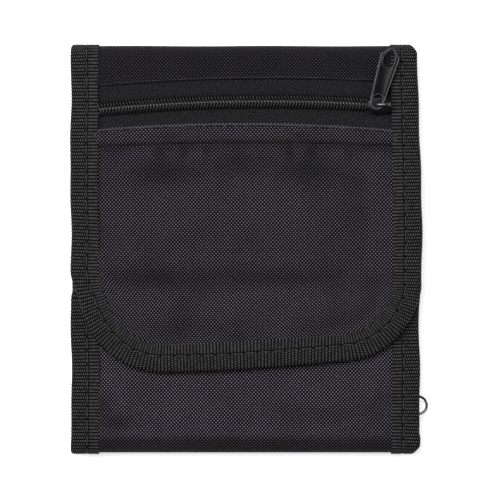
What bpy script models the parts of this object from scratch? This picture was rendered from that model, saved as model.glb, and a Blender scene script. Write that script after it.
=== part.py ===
"""Passport holder wallet: a nylon strip bound with grosgrain tape and folded twice round a passport pocket.

Metres, +Z up. The wallet lies closed on its back. z = 0 is the back panel's outer face, +Y points to the top
fold, where the flap hangs, and +X to the right of someone looking down on the flap. The origin is the middle
of the back face. Depths are measured inwards from the outermost surface of the strip, which is the tape's.
"""

import math

import bmesh
import bpy
from mathutils import Vector

# Overall size, closed.
WIDTH = 0.136
HEIGHT = 0.160
THICKNESS = 0.0143
FRONT_THICKNESS = 0.01035
HALF_WIDTH = WIDTH / 2
HALF_HEIGHT = HEIGHT / 2

# Folds: each is a round corner off the back, a short straight spine and a round corner onto the next panel.
TOP_RADIUS = 0.006
BOTTOM_RADIUS = 0.005
FOLD_SPLIT_DEG = 45
FOLD_STEP_DEG = 11.25
SPLIT_GAP = 0.0003

# Fabrics and tape.
TAPE_WIDTH = 0.011
TAPE_THICKNESS = 0.0005
SHELL_DEPTH = 0.0006
SHELL_THICKNESS = 0.0006
LINING_THICKNESS = 0.00035
EDGE_INSET = 0.0008
CLEARANCE = 0.00015

# Back panel: the shell steps out to z = 0 between the tapes, and the lining steps in.
BACK_DEPTH = 0.0025
STEP_START = TAPE_WIDTH + 0.0003
STEP_END = TAPE_WIDTH + 0.002
BACK_SHELL_EDGE_DEPTH = 0.0007
BACK_LINING_EDGE_DEPTH = 0.00145
BACK_LINING_DEPTH = 0.0021
BACK_LINING_THICKNESS = 0.0004
BOARD_DEPTH = 0.00075
BOARD_THICKNESS = 0.0012
BOARD_SIZE = (0.108, 0.146)

# Spines.
SPINE_LINING_DEPTH = 0.00135
SPINE_DEPTH = 0.0023

# Flap.
FLAP_END_Y = -0.0474
FLAP_CORNER = 0.034
FLAP_DEPTH = 0.00375
FLAP_LINING_DEPTH = 0.0028
CORNER_STEPS = 8

# Front panel.
FRONT_END_Y = -0.006
FRONT_CORNER = 0.014
FRONT_DEPTH = 0.00225
FRONT_LINING_DEPTH = 0.0013

# Zip, across the flap. ZIP_Y is its line at the slider, and it falls a little towards the left.
ZIP_Y = 0.0560
ZIP_SLOPE = 0.0122
ZIP_HALF_OPENING = 0.0085
ZIP_TAPE_DEPTH = 0.0013
ZIP_TAPE_THICKNESS = 0.0004
ZIP_TAPE_WIDTH = 0.0127
ZIP_TAPE_HALF_LENGTH = 0.067
COIL_SLOT = 0.0009
COIL_WIDTH = 0.00195
COIL_HEIGHT = 0.0018
COIL_HALF_LENGTH = 0.0567

# Slider, crown and pull.
SLIDER_X = 0.0519
SLIDER_HALF_LENGTH = 0.0048
SLIDER_REAR_HALF_WIDTH = 0.0032
SLIDER_FRONT_HALF_WIDTH = 0.0036
SLIDER_NOSE_RADIUS = 0.0016
SLIDER_PLATE = 0.0009
SLIDER_FLANGE = 0.00055
SLIDER_FLANGE_END = 0.0030
NECK_WIDTH = 0.0005
NECK_START = 0.0020
NECK_END = 0.0042
CROWN_REAR_X = -0.0013
CROWN_FRONT_X = 0.0041
CROWN_WIDTH = 0.0014
CROWN_STRAP = 0.0008
CROWN_RISE = 0.0028
PULL_ANGLE_DEG = 73.9
PULL_THICKNESS = 0.0010
PULL_LIFT = 0.0003
PULL_BACK = 0.0019
PULL_REACH = 0.0229
PULL_EYE_HALF_WIDTH = 0.00265
PULL_END_HALF_WIDTH = 0.0038
PULL_SHOULDER = 0.0195
PULL_TIP_HALF_WIDTH = 0.0017
EYE_START = -0.0009
EYE_END = 0.0041
EYE_RADIUS = 0.00185
WINDOW_START = 0.0149
WINDOW_END = 0.0216
WINDOW_START_HALF_WIDTH = 0.0023
WINDOW_END_HALF_WIDTH = 0.0013
WINDOW_SHOULDER = 0.0192

# Hook and loop.
PATCH_WIDTH = 0.070
PATCH_LOW_Y = -0.036
PATCH_HIGH_Y = -0.0174
PATCH_THICKNESS = 0.00055

# Passport pocket and what is sewn to it.
POCKET_GAP = 0.00445
POCKET_HALF_WIDTH = 0.0547
POCKET_LOW_Y = -0.0736
POCKET_HIGH_Y = 0.061
POCKET_THICKNESS = 0.00045
GUSSET_THICKNESS = 0.0006
CARD_HALF_WIDTH = 0.0465
CARD_LOW_Y = 0.001
CARD_HIGH_Y = (0.059, 0.047, 0.035)
CARD_THICKNESS = 0.0004
CARD_PITCH = 0.0005
ID_HALF_WIDTH = 0.044
ID_LOW_Y = -0.068
ID_HIGH_Y = -0.0115
ID_THICKNESS = 0.0003
ID_HEM_HEIGHT = 0.0055
ID_HEM_THICKNESS = 0.00045

# Ring and the tab that holds it.
RING_X = 0.0662
RING_Y = -0.061
RING_Z = 0.0036
RING_WIRE = 0.0009
RING_RADIUS = 0.00345
RING_LEG = 0.0014
RING_CORNER = 0.0007
RING_SIDES = 8
TAB_WIDTH = 0.0056
TAB_START_X = 0.058
TAB_THICKNESS = 0.0004
TAB_EYE_RADIUS = 0.00055

BLACK_NYLON = (0.030, 0.028, 0.034, 1)
BLACK_LINING = (0.022, 0.021, 0.024, 1)
BLACK_TAPE = (0.020, 0.020, 0.021, 1)
BLACK_ENAMEL = (0.012, 0.012, 0.013, 1)


def clear_scene():
    for obj in list(bpy.data.objects):
        bpy.data.objects.remove(obj)


def material(name, colour, roughness, metallic=0.0, alpha=1.0):
    """A Principled material, made once for each name."""
    found = bpy.data.materials.get(name)
    if found:
        return found
    made = bpy.data.materials.new(name)
    made.use_nodes = True
    shader = made.node_tree.nodes["Principled BSDF"]
    shader.inputs["Base Color"].default_value = colour
    shader.inputs["Roughness"].default_value = roughness
    shader.inputs["Metallic"].default_value = metallic
    shader.inputs["Alpha"].default_value = alpha
    return made


def link(name, data, finish, parent=None):
    obj = bpy.data.objects.new(name, data)
    bpy.context.scene.collection.objects.link(obj)
    obj.data.materials.append(finish)
    if parent:
        obj.parent = parent
    return obj


def joint_empty(name, place):
    """An empty on a joint's axis, which carries what turns or slides there."""
    empty = bpy.data.objects.new(name, None)
    empty.location = place
    bpy.context.scene.collection.objects.link(empty)
    return empty


def loft(name, rings, finish, parent=None, closed=False):
    """A closed solid through rings of points in world space; its ends are capped unless the rings close up."""
    offset = parent.location if parent else Vector()
    mesh = bpy.data.meshes.new(name)
    bm = bmesh.new()
    loops = [[bm.verts.new(point - offset) for point in ring] for ring in rings]
    sides = len(loops[0])
    for i in range(len(loops) if closed else len(loops) - 1):
        near, far = loops[i], loops[(i + 1) % len(loops)]
        for k in range(sides):
            following = (k + 1) % sides
            bm.faces.new((near[k], near[following], far[following], far[k]))
    if not closed:
        bm.faces.new(loops[0])
        bm.faces.new(loops[-1])
    bmesh.ops.recalc_face_normals(bm, faces=bm.faces)
    bm.to_mesh(mesh)
    bm.free()
    return link(name, mesh, finish, parent)


def box(name, low, high, finish, parent=None):
    ring_xy = ((low[0], low[1]), (high[0], low[1]), (high[0], high[1]), (low[0], high[1]))
    rings = [[Vector((x, y, z)) for x, y in ring_xy] for z in (low[2], high[2])]
    return loft(name, rings, finish, parent)


def zip_strip(name, side, width, half_length, low_z, high_z, finish, parent):
    """One side of the zip, on its slope: side is +1 for the upper one. It starts half a slot from the line."""
    near = side * COIL_SLOT / 2
    rings = []
    for z in (low_z, high_z):
        ring = []
        for x, across in ((-1, 0), (1, 0), (1, 1), (-1, 1)):
            line_y = ZIP_Y + ZIP_SLOPE * (x * half_length - SLIDER_X)
            ring.append(Vector((x * half_length, line_y + near + side * width * across, z)))
        rings.append(ring)
    return loft(name, rings, finish, parent)


class Frame:
    """A place on the strip's outermost surface in the YZ plane, with the direction into the strip."""

    def __init__(self, y, z, inward_y, inward_z):
        self.place = Vector((0, y, z))
        self.inward = Vector((0, inward_y, inward_z))


def corner_frames(side, radius, centre_z, start_deg, end_deg):
    """Frames round a fold's corner. side is +1 at the top and -1 at the bottom; 0 degrees faces down."""
    centre_y = side * (HALF_HEIGHT - radius)
    steps = max(1, round(abs(end_deg - start_deg) / FOLD_STEP_DEG))
    frames = []
    for i in range(steps + 1):
        angle = math.radians(start_deg + (end_deg - start_deg) * i / steps)
        out_y, out_z = side * math.sin(angle), -math.cos(angle)
        frames.append(Frame(centre_y + radius * out_y, centre_z + radius * out_z, -out_y, -out_z))
    return frames


def split_angles(radius):
    """The angles where the first corner of a fold ends and the next body starts, on both sides of the gap."""
    half_gap = math.degrees(SPLIT_GAP / 2 / radius)
    return FOLD_SPLIT_DEG - half_gap, FOLD_SPLIT_DEG + half_gap


def back_frames():
    """The back panel, from half-way round its bottom corner to half-way round its top corner."""
    bottom = corner_frames(-1, BOTTOM_RADIUS, BOTTOM_RADIUS, split_angles(BOTTOM_RADIUS)[0], 0)
    top = corner_frames(1, TOP_RADIUS, TOP_RADIUS, 0, split_angles(TOP_RADIUS)[0])
    return bottom + top


def spine_frames(side, radius, thickness):
    start = split_angles(radius)[1]
    lower = corner_frames(side, radius, radius, start, 90)
    upper = corner_frames(side, radius, thickness - radius, 90, 180 - start)
    return lower + upper


def panel_corner_frames(side, radius, thickness):
    """The half corner that belongs to the flap or the front panel, ending where the panel is flat."""
    return corner_frames(side, radius, thickness - radius, 180 - split_angles(radius)[0], 180)


def sheet_ring(frame, half_width, depth, thickness):
    """A flat sheet's section at one frame."""
    return stepped_ring(frame, [(-half_width, depth), (half_width, depth)], thickness)


def stepped_ring(frame, profile, thickness):
    """A sheet's section at one frame, from (x, depth of the outer face) points across it."""
    across = Vector((1, 0, 0))
    outer = [frame.place + across * x + frame.inward * depth for x, depth in profile]
    inner = [frame.place + across * x + frame.inward * (depth + thickness) for x, depth in reversed(profile)]
    return outer + inner


def back_profile(edge_depth, centre_depth):
    edge = HALF_WIDTH - EDGE_INSET
    start = HALF_WIDTH - STEP_START
    end = HALF_WIDTH - STEP_END
    left = [(-edge, edge_depth), (-start, edge_depth), (-end, centre_depth)]
    return left + [(-x, depth) for x, depth in reversed(left)]


def rounded_rows(end_y, corner, inset, thickness, towards):
    """(frame, half width) rows round a panel's free corners. towards is -1 for the flap, +1 for the front."""
    radius = corner - inset
    centre_y = end_y - towards * corner
    rows = []
    for i in range(CORNER_STEPS + 1):
        angle = math.radians(90 * i / CORNER_STEPS)
        y = centre_y + towards * radius * math.sin(angle)
        half_width = HALF_WIDTH - corner + radius * math.cos(angle)
        rows.append((Frame(y, thickness, 0, -1), half_width))
    return rows


def channel_ring(place, into_panel, inward, depth):
    """The folded tape's U section: its edge at place, its two legs reaching TAPE_WIDTH into the panel."""
    wall = TAPE_THICKNESS
    section = (
        (0, 0),
        (TAPE_WIDTH, 0),
        (TAPE_WIDTH, wall),
        (wall, wall),
        (wall, depth - wall),
        (TAPE_WIDTH, depth - wall),
        (TAPE_WIDTH, depth),
        (0, depth),
    )
    return [place + into_panel * along + inward * down for along, down in section]


def side_channel(name, frames, side, depth, finish, parent=None):
    """A straight run of tape down one side: side is -1 for the left and +1 for the right."""
    edge = Vector((side * HALF_WIDTH, 0, 0))
    rings = [channel_ring(f.place + edge, Vector((-side, 0, 0)), f.inward, depth) for f in frames]
    return loft(name, rings, finish, parent)


def panel_channel(name, corner_of_fold, end_y, corner, thickness, depth, towards, finish, parent):
    """The tape round a panel's three free sides, with the stretch that comes round its fold at both ends."""
    inward = Vector((0, 0, -1))
    left = [
        channel_ring(f.place + Vector((-HALF_WIDTH, 0, 0)), Vector((1, 0, 0)), f.inward, depth)
        for f in corner_of_fold
    ]
    turn = []
    centre = Vector((-(HALF_WIDTH - corner), end_y - towards * corner, thickness))
    for i in range(CORNER_STEPS + 1):
        angle = math.radians(90 * i / CORNER_STEPS)
        outward = Vector((-math.cos(angle), towards * math.sin(angle), 0))
        turn.append(channel_ring(centre + outward * corner, -outward, inward, depth))
    half = left + turn
    other = [[Vector((-p.x, p.y, p.z)) for p in ring] for ring in reversed(half)]
    return loft(name, half + other, finish, parent)


def extruded(name, outline, axis, low, high, finish, parent=None):
    """A solid with an outline in the plane across axis ("Y" or "Z"), from low to high along it."""
    if axis == "Y":
        rings = [[Vector((a, level, b)) for a, b in outline] for level in (low, high)]
    else:
        rings = [[Vector((a, b, level)) for a, b in outline] for level in (low, high)]
    return loft(name, rings, finish, parent)


def arc(centre, radius, start_deg, end_deg, steps):
    angles = [math.radians(start_deg + (end_deg - start_deg) * i / steps) for i in range(steps + 1)]
    return [(centre[0] + radius * math.cos(a), centre[1] + radius * math.sin(a)) for a in angles]


def unite(target, *others):
    """Joins helpers to target with Boolean unions; the helpers are left out of the model."""
    for other in others:
        modifier = target.modifiers.new("join_" + other.name, "BOOLEAN")
        modifier.operation = "UNION"
        modifier.solver = "EXACT"
        modifier.object = other
        other.hide_render = True
        other.display_type = "WIRE"


def make_back(nylon, lining, tape, board):
    frames = back_frames()
    shell = back_profile(BACK_SHELL_EDGE_DEPTH, 0)
    loft("back_shell", [stepped_ring(f, shell, SHELL_THICKNESS) for f in frames], nylon)
    inner = back_profile(BACK_LINING_EDGE_DEPTH, BACK_LINING_DEPTH)
    loft("back_lining", [stepped_ring(f, inner, BACK_LINING_THICKNESS) for f in frames], lining)
    half = (BOARD_SIZE[0] / 2, BOARD_SIZE[1] / 2)
    low = (-half[0], -half[1], BOARD_DEPTH)
    box("back_board", low, (half[0], half[1], BOARD_DEPTH + BOARD_THICKNESS), board)
    for side, name in ((-1, "back_binding_left"), (1, "back_binding_right")):
        side_channel(name, frames, side, BACK_DEPTH, tape)


def make_passport_pocket(lining, clear, tape):
    floor = BACK_DEPTH + CLEARANCE
    top = BACK_DEPTH + POCKET_GAP
    half = POCKET_HALF_WIDTH
    box(
        "passport_pocket_front",
        (-half, POCKET_LOW_Y, top),
        (half, POCKET_HIGH_Y, top + POCKET_THICKNESS),
        lining,
    )
    roof = top - CLEARANCE
    wall = half - GUSSET_THICKNESS
    low_y = POCKET_LOW_Y + GUSSET_THICKNESS
    box("passport_gusset_left", (-half, low_y, floor), (-wall, POCKET_HIGH_Y, roof), lining)
    box("passport_gusset_right", (wall, low_y, floor), (half, POCKET_HIGH_Y, roof), lining)
    side = wall - CLEARANCE
    box("passport_gusset_bottom", (-side, POCKET_LOW_Y, floor), (side, low_y, roof), lining)

    first = top + POCKET_THICKNESS + CLEARANCE / 2
    names = ("card_slot_rear", "card_slot_middle", "card_slot_front")
    for layer, (name, high_y) in enumerate(zip(names, CARD_HIGH_Y)):
        z = first + layer * CARD_PITCH
        low = (-CARD_HALF_WIDTH, CARD_LOW_Y, z)
        box(name, low, (CARD_HALF_WIDTH, high_y, z + CARD_THICKNESS), lining)

    low = (-ID_HALF_WIDTH, ID_LOW_Y, first)
    box("id_window", low, (ID_HALF_WIDTH, ID_HIGH_Y, first + ID_THICKNESS), clear)
    hem_y = ID_HIGH_Y + CLEARANCE
    low = (-ID_HALF_WIDTH, hem_y, first)
    box("id_window_hem", low, (ID_HALF_WIDTH, hem_y + ID_HEM_HEIGHT, first + ID_HEM_THICKNESS), tape)


def make_spine(prefix, side, radius, thickness, place, nylon, lining, tape):
    parent = joint_empty(prefix + "_joint", place)
    frames = spine_frames(side, radius, thickness)
    half = HALF_WIDTH - EDGE_INSET
    shell = [sheet_ring(f, half, SHELL_DEPTH, SHELL_THICKNESS) for f in frames]
    loft(prefix + "_shell", shell, nylon, parent)
    inner = [sheet_ring(f, half, SPINE_LINING_DEPTH, LINING_THICKNESS) for f in frames]
    loft(prefix + "_lining", inner, lining, parent)
    side_channel(prefix + "_binding_left", frames, -1, SPINE_DEPTH, tape, parent)
    side_channel(prefix + "_binding_right", frames, 1, SPINE_DEPTH, tape, parent)


def make_flap(place, nylon, lining, tape, zip_tape, coil, hook):
    parent = joint_empty("flap_joint", place)
    fold = panel_corner_frames(1, TOP_RADIUS, THICKNESS)
    half = HALF_WIDTH - EDGE_INSET

    strip = fold + [Frame(ZIP_Y + ZIP_HALF_OPENING + 0.0007, THICKNESS, 0, -1)]
    rings = [sheet_ring(f, half, SHELL_DEPTH, SHELL_THICKNESS) for f in strip]
    loft("flap_top_strip", rings, nylon, parent)

    rows = rounded_rows(FLAP_END_Y, FLAP_CORNER, EDGE_INSET, THICKNESS, -1)
    hem = (Frame(ZIP_Y - ZIP_HALF_OPENING + 0.0007, THICKNESS, 0, -1), half)
    rings = [sheet_ring(f, w, SHELL_DEPTH, SHELL_THICKNESS) for f, w in [hem] + rows]
    loft("flap_pocket_front", rings, nylon, parent)

    rings = [sheet_ring(f, w, FLAP_LINING_DEPTH, LINING_THICKNESS) for f, w in [(f, half) for f in fold] + rows]
    loft("flap_lining", rings, lining, parent)
    panel_channel("flap_binding", fold, FLAP_END_Y, FLAP_CORNER, THICKNESS, FLAP_DEPTH, -1, tape, parent)

    tape_top = THICKNESS - ZIP_TAPE_DEPTH
    tape_low = tape_top - ZIP_TAPE_THICKNESS
    coil_low = tape_top + CLEARANCE
    coil_top = coil_low + COIL_HEIGHT
    for side, name in ((1, "upper"), (-1, "lower")):
        half = ZIP_TAPE_HALF_LENGTH
        zip_strip("zip_tape_" + name, side, ZIP_TAPE_WIDTH, half, tape_low, tape_top, zip_tape, parent)
        half = COIL_HALF_LENGTH
        zip_strip("zip_coil_" + name, side, COIL_WIDTH, half, coil_low, coil_top, coil, parent)

    top = THICKNESS - FLAP_LINING_DEPTH - LINING_THICKNESS - CLEARANCE / 2
    low = (-PATCH_WIDTH / 2, PATCH_LOW_Y, top - PATCH_THICKNESS)
    box("hook_patch", low, (PATCH_WIDTH / 2, PATCH_HIGH_Y, top), hook, parent)


def make_front(place, nylon, lining, tape, loop):
    parent = joint_empty("front_panel_joint", place)
    fold = panel_corner_frames(-1, BOTTOM_RADIUS, FRONT_THICKNESS)
    half = HALF_WIDTH - EDGE_INSET
    rows = rounded_rows(FRONT_END_Y, FRONT_CORNER, EDGE_INSET, FRONT_THICKNESS, 1)
    stretch = [(f, half) for f in fold] + rows
    rings = [sheet_ring(f, w, SHELL_DEPTH, SHELL_THICKNESS) for f, w in stretch]
    loft("front_shell", rings, nylon, parent)
    rings = [sheet_ring(f, w, FRONT_LINING_DEPTH, LINING_THICKNESS) for f, w in stretch]
    loft("front_lining", rings, lining, parent)
    panel_channel(
        "front_binding", fold, FRONT_END_Y, FRONT_CORNER, FRONT_THICKNESS, FRONT_DEPTH, 1, tape, parent
    )
    low_z = FRONT_THICKNESS - SHELL_DEPTH + CLEARANCE / 2
    low = (-PATCH_WIDTH / 2, PATCH_LOW_Y, low_z)
    box("loop_patch", low, (PATCH_WIDTH / 2, PATCH_HIGH_Y, low_z + PATCH_THICKNESS), loop, parent)


def slider_half_width(along):
    """Half the slider's width, widening to its front and rounding in at the nose."""
    share = (along + SLIDER_HALF_LENGTH) / (2 * SLIDER_HALF_LENGTH)
    width = SLIDER_REAR_HALF_WIDTH + (SLIDER_FRONT_HALF_WIDTH - SLIDER_REAR_HALF_WIDTH) * share
    past = along - (SLIDER_HALF_LENGTH - SLIDER_NOSE_RADIUS)
    if past > 0:
        width += math.sqrt(max(0, SLIDER_NOSE_RADIUS**2 - past**2)) - SLIDER_NOSE_RADIUS
    return width


def slider_outline():
    stations = [-SLIDER_HALF_LENGTH, -SLIDER_HALF_LENGTH / 2, 0, SLIDER_HALF_LENGTH - SLIDER_NOSE_RADIUS]
    stations += [SLIDER_HALF_LENGTH - SLIDER_NOSE_RADIUS * (1 - share) for share in (0.35, 0.65, 0.87, 1)]
    right = [(SLIDER_X + u, ZIP_Y - slider_half_width(u)) for u in stations]
    left = [(SLIDER_X + u, ZIP_Y + slider_half_width(u)) for u in reversed(stations)]
    return right + left


def slider_levels():
    """(bottom plate's lower face, bottom plate's upper face, top plate's lower face, top plate's upper face)."""
    under = THICKNESS - ZIP_TAPE_DEPTH - ZIP_TAPE_THICKNESS - CLEARANCE
    over = THICKNESS - ZIP_TAPE_DEPTH + CLEARANCE + COIL_HEIGHT + CLEARANCE
    return under - SLIDER_PLATE, under, over, over + SLIDER_PLATE


def make_slider(enamel):
    bottom, under, over, top = slider_levels()
    parent = joint_empty("zip_slider_joint", (SLIDER_X, ZIP_Y, over))
    body = extruded("slider_body", slider_outline(), "Z", over, top, enamel, parent)
    plate = extruded("slider_bottom_plate", slider_outline(), "Z", bottom, under, enamel, parent)
    overlap = SLIDER_PLATE / 3
    neck = box(
        "slider_neck",
        (SLIDER_X + NECK_START, ZIP_Y - NECK_WIDTH / 2, under - overlap),
        (SLIDER_X + NECK_END, ZIP_Y + NECK_WIDTH / 2, over + overlap),
        enamel,
        parent,
    )
    flange_low = THICKNESS - ZIP_TAPE_DEPTH + 2 * CLEARANCE
    flanges = []
    for side, name in ((1, "upper"), (-1, "lower")):
        outline = []
        for along in (-SLIDER_HALF_LENGTH, SLIDER_FLANGE_END):
            width = slider_half_width(along) - CLEARANCE / 3
            outline.append((SLIDER_X + along, ZIP_Y + side * width))
        for along in (SLIDER_FLANGE_END, -SLIDER_HALF_LENGTH):
            width = slider_half_width(along) - SLIDER_FLANGE
            outline.append((SLIDER_X + along, ZIP_Y + side * width))
        name = "slider_flange_" + name
        flanges.append(extruded(name, outline, "Z", flange_low, over + overlap, enamel, parent))
    unite(body, neck, plate, *flanges)

    low = top + CLEARANCE
    rear = SLIDER_X + CROWN_REAR_X
    front = SLIDER_X + CROWN_FRONT_X
    half = CROWN_STRAP / 2
    bend = CROWN_STRAP * 1.5
    peak = low + CROWN_RISE
    outline = [(rear - half, low)]
    outline += arc((rear - half + bend, peak - bend), bend, 180, 90, 4)
    outline += arc((front + half - bend, peak - bend), bend, 90, 0, 4)
    outline += [(front + half, low), (front - half, low)]
    inner = bend - CROWN_STRAP
    outline += arc((front - half - inner, peak - bend), inner, 0, 90, 3)
    outline += arc((rear + half + inner, peak - bend), inner, 90, 180, 3)
    outline += [(rear + half, low)]
    extruded("slider_crown", outline, "Y", ZIP_Y - CROWN_WIDTH / 2, ZIP_Y + CROWN_WIDTH / 2, enamel, parent)
    return top


def closed_spline(curve, points):
    spline = curve.splines.new("POLY")
    spline.points.add(len(points) - 1)
    for point, (x, y) in zip(spline.points, points):
        point.co = (x, y, 0, 1)
    spline.use_cyclic_u = True


def make_pull(slider_top, enamel):
    """The pull tab: a flat tapered plate whose eye goes round the crown's rear leg, where it swivels."""
    curve = bpy.data.curves.new("pull_tab", "CURVE")
    curve.dimensions = "2D"
    curve.fill_mode = "BOTH"
    curve.extrude = PULL_THICKNESS / 2
    half = PULL_EYE_HALF_WIDTH
    outline = arc((half - PULL_BACK, 0), half, 90, 270, 12)
    outline += [(PULL_SHOULDER, -PULL_END_HALF_WIDTH)]
    outline += arc((PULL_REACH - PULL_TIP_HALF_WIDTH, 0), PULL_TIP_HALF_WIDTH * 1.35, -52, 52, 8)
    outline += [(PULL_SHOULDER, PULL_END_HALF_WIDTH)]
    closed_spline(curve, outline)
    eye = arc((EYE_START + EYE_RADIUS, 0), EYE_RADIUS, 90, 270, 8)
    eye += arc((EYE_END - EYE_RADIUS, 0), EYE_RADIUS, -90, 90, 8)
    closed_spline(curve, eye)
    window = arc((WINDOW_START + WINDOW_START_HALF_WIDTH, 0), WINDOW_START_HALF_WIDTH, 100, 260, 8)
    window += [(WINDOW_SHOULDER, -WINDOW_START_HALF_WIDTH), (WINDOW_END, -WINDOW_END_HALF_WIDTH)]
    window += [(WINDOW_END, WINDOW_END_HALF_WIDTH), (WINDOW_SHOULDER, WINDOW_START_HALF_WIDTH)]
    closed_spline(curve, window)
    pull = link("pull_tab", curve, enamel)
    pull.location = (SLIDER_X + CROWN_REAR_X, ZIP_Y, slider_top + PULL_LIFT + PULL_THICKNESS / 2)
    pull.rotation_euler = (0, 0, math.radians(PULL_ANGLE_DEG))


def ring_path():
    """The D ring's centre line in the XY plane: a straight bar at x = 0, two legs and a half circle."""
    half, bend = RING_RADIUS, RING_CORNER
    path = [(0, -half / 2), (0, 0), (0, half / 2)]
    path += arc((bend, half - bend), bend, 180, 90, 3)
    path += arc((RING_LEG, 0), half, 90, -90, 14)
    path += arc((bend, bend - half), bend, -90, -180, 3)
    return path


def make_ring(metal, tape):
    path = ring_path()
    rings = []
    for i, (x, y) in enumerate(path):
        before, after = path[i - 1], path[(i + 1) % len(path)]
        run = Vector((after[0] - before[0], after[1] - before[1], 0)).normalized()
        across = Vector((run.y, -run.x, 0))
        centre = Vector((RING_X + x, RING_Y + y, RING_Z))
        ring = []
        for k in range(RING_SIDES):
            angle = 2 * math.pi * k / RING_SIDES
            offset = across * math.cos(angle) + Vector((0, 0, 1)) * math.sin(angle)
            ring.append(centre + offset * RING_WIRE / 2)
        rings.append(ring)
    parent = joint_empty("side_ring_joint", (RING_X, RING_Y, RING_Z))
    ring = loft("d_ring", rings, metal, parent, closed=True)
    ring.data.shade_smooth()

    outer = TAB_EYE_RADIUS + TAB_THICKNESS
    centre = (RING_X, RING_Z)
    outline = [(TAB_START_X, RING_Z - outer)]
    outline += arc(centre, outer, -90, 90, 8)
    outline += [(TAB_START_X, RING_Z + outer), (TAB_START_X, RING_Z + TAB_EYE_RADIUS)]
    outline += arc(centre, TAB_EYE_RADIUS, 90, -90, 8)
    outline += [(TAB_START_X, RING_Z - TAB_EYE_RADIUS)]
    extruded("ring_tab", outline, "Y", RING_Y - TAB_WIDTH / 2, RING_Y + TAB_WIDTH / 2, tape)


def fold_place(side, radius, centre_z, turn):
    """The point on a fold corner's outermost surface, half-way round it, where its panel turns."""
    reach = radius * math.sin(math.radians(FOLD_SPLIT_DEG))
    return (0, side * (HALF_HEIGHT - radius + reach), centre_z + turn * reach)


def main():
    clear_scene()
    nylon = material("oxford_nylon", BLACK_NYLON, 0.55)
    lining = material("lining", BLACK_LINING, 0.6)
    tape = material("grosgrain", BLACK_TAPE, 0.75)
    zip_tape = material("zip_tape", BLACK_TAPE, 0.8)
    board = material("foam_board", (0.25, 0.25, 0.26, 1), 0.9)
    clear = material("clear_vinyl", (0.8, 0.82, 0.84, 1), 0.15, alpha=0.35)
    coil = material("zip_coil", BLACK_ENAMEL, 0.35)
    enamel = material("black_enamel", BLACK_ENAMEL, 0.3, metallic=0.6)
    nickel = material("nickel", (0.6, 0.59, 0.57, 1), 0.25, metallic=1.0)
    hook = material("hook_tape", BLACK_TAPE, 0.7)
    loop = material("loop_tape", BLACK_TAPE, 0.95)

    make_back(nylon, lining, tape, board)
    make_passport_pocket(lining, clear, tape)
    make_ring(nickel, tape)

    top = fold_place(1, TOP_RADIUS, TOP_RADIUS, -1)
    bottom = fold_place(-1, BOTTOM_RADIUS, BOTTOM_RADIUS, -1)
    make_spine("top_spine", 1, TOP_RADIUS, THICKNESS, top, nylon, lining, tape)
    make_spine("bottom_spine", -1, BOTTOM_RADIUS, FRONT_THICKNESS, bottom, nylon, lining, tape)

    flap = fold_place(1, TOP_RADIUS, THICKNESS - TOP_RADIUS, 1)
    make_flap(flap, nylon, lining, tape, zip_tape, coil, hook)
    front = fold_place(-1, BOTTOM_RADIUS, FRONT_THICKNESS - BOTTOM_RADIUS, 1)
    make_front(front, nylon, lining, tape, loop)

    make_pull(make_slider(enamel), enamel)


main()
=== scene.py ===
"""The passport holder wallet as it looks: woven, ribbed, stitched and zipped, on the joints of its CAD.

Lengths are in millimetres until a mesh is made. The fabric is one strip, with tape folded over its sides. It
runs from the front panel's free edge round the bottom fold, up the back, round the top fold and down the
flap. s is the distance along its outermost surface, x runs across it, and depth is measured inwards.
"""

import math

import bmesh
import bpy
import numpy as np
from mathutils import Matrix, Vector


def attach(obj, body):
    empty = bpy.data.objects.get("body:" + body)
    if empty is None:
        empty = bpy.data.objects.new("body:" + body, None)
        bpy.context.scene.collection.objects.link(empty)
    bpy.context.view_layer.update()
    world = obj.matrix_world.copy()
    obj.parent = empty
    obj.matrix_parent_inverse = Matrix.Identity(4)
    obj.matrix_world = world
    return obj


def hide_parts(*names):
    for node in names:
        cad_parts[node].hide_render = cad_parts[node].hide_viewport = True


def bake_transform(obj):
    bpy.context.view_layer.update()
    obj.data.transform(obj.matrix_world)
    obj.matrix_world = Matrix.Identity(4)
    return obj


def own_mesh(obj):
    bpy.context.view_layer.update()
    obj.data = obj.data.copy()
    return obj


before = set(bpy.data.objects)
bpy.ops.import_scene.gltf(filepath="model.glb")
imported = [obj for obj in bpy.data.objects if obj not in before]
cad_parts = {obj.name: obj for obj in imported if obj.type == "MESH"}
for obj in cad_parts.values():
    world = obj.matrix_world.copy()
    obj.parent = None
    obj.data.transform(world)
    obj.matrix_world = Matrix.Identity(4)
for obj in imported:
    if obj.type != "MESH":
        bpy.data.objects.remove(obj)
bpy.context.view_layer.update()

MM = 0.001
LOOK = "-look"
rng = np.random.default_rng(7)

# Overall size.
HALF_WIDTH = 68.0
HALF_HEIGHT = 80.0
TOP_RADIUS = 6.0
BOTTOM_RADIUS = 5.0
FLAP_Z = 14.3
FRONT_Z = 10.35
FLAP_END = -47.4
FRONT_END = -6.0
FLAP_LEFT_CORNER = 36.0
FLAP_RIGHT_CORNER = 32.0
FRONT_CORNER = 14.0
EDGE_INSET = 0.9

# Tape folded over the edges.
TAPE_WIDTH = 10.9
TAPE_WALL = 0.5
RIB_PITCH = 1.3
RIB_HEIGHT = 0.17
RIB_SAMPLES = 6
SEAM_INSET = 6.4
EDGE_STEP = 0.25
STITCH_LENGTH = 4.7
STITCH_GAP = 0.7
THREAD = 0.2

# Depths under the outermost surface.
SHELL_DEPTH = 0.6
SHELL_THICKNESS = 0.5
BACK_DEPTH = 2.5
FLAP_DEPTH = 3.75
FRONT_DEPTH = 2.25
BACK_LINING_DEPTH = 1.45
FLAP_LINING_DEPTH = 2.8
FRONT_LINING_DEPTH = 1.3
LINING_THICKNESS = 0.35

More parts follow.
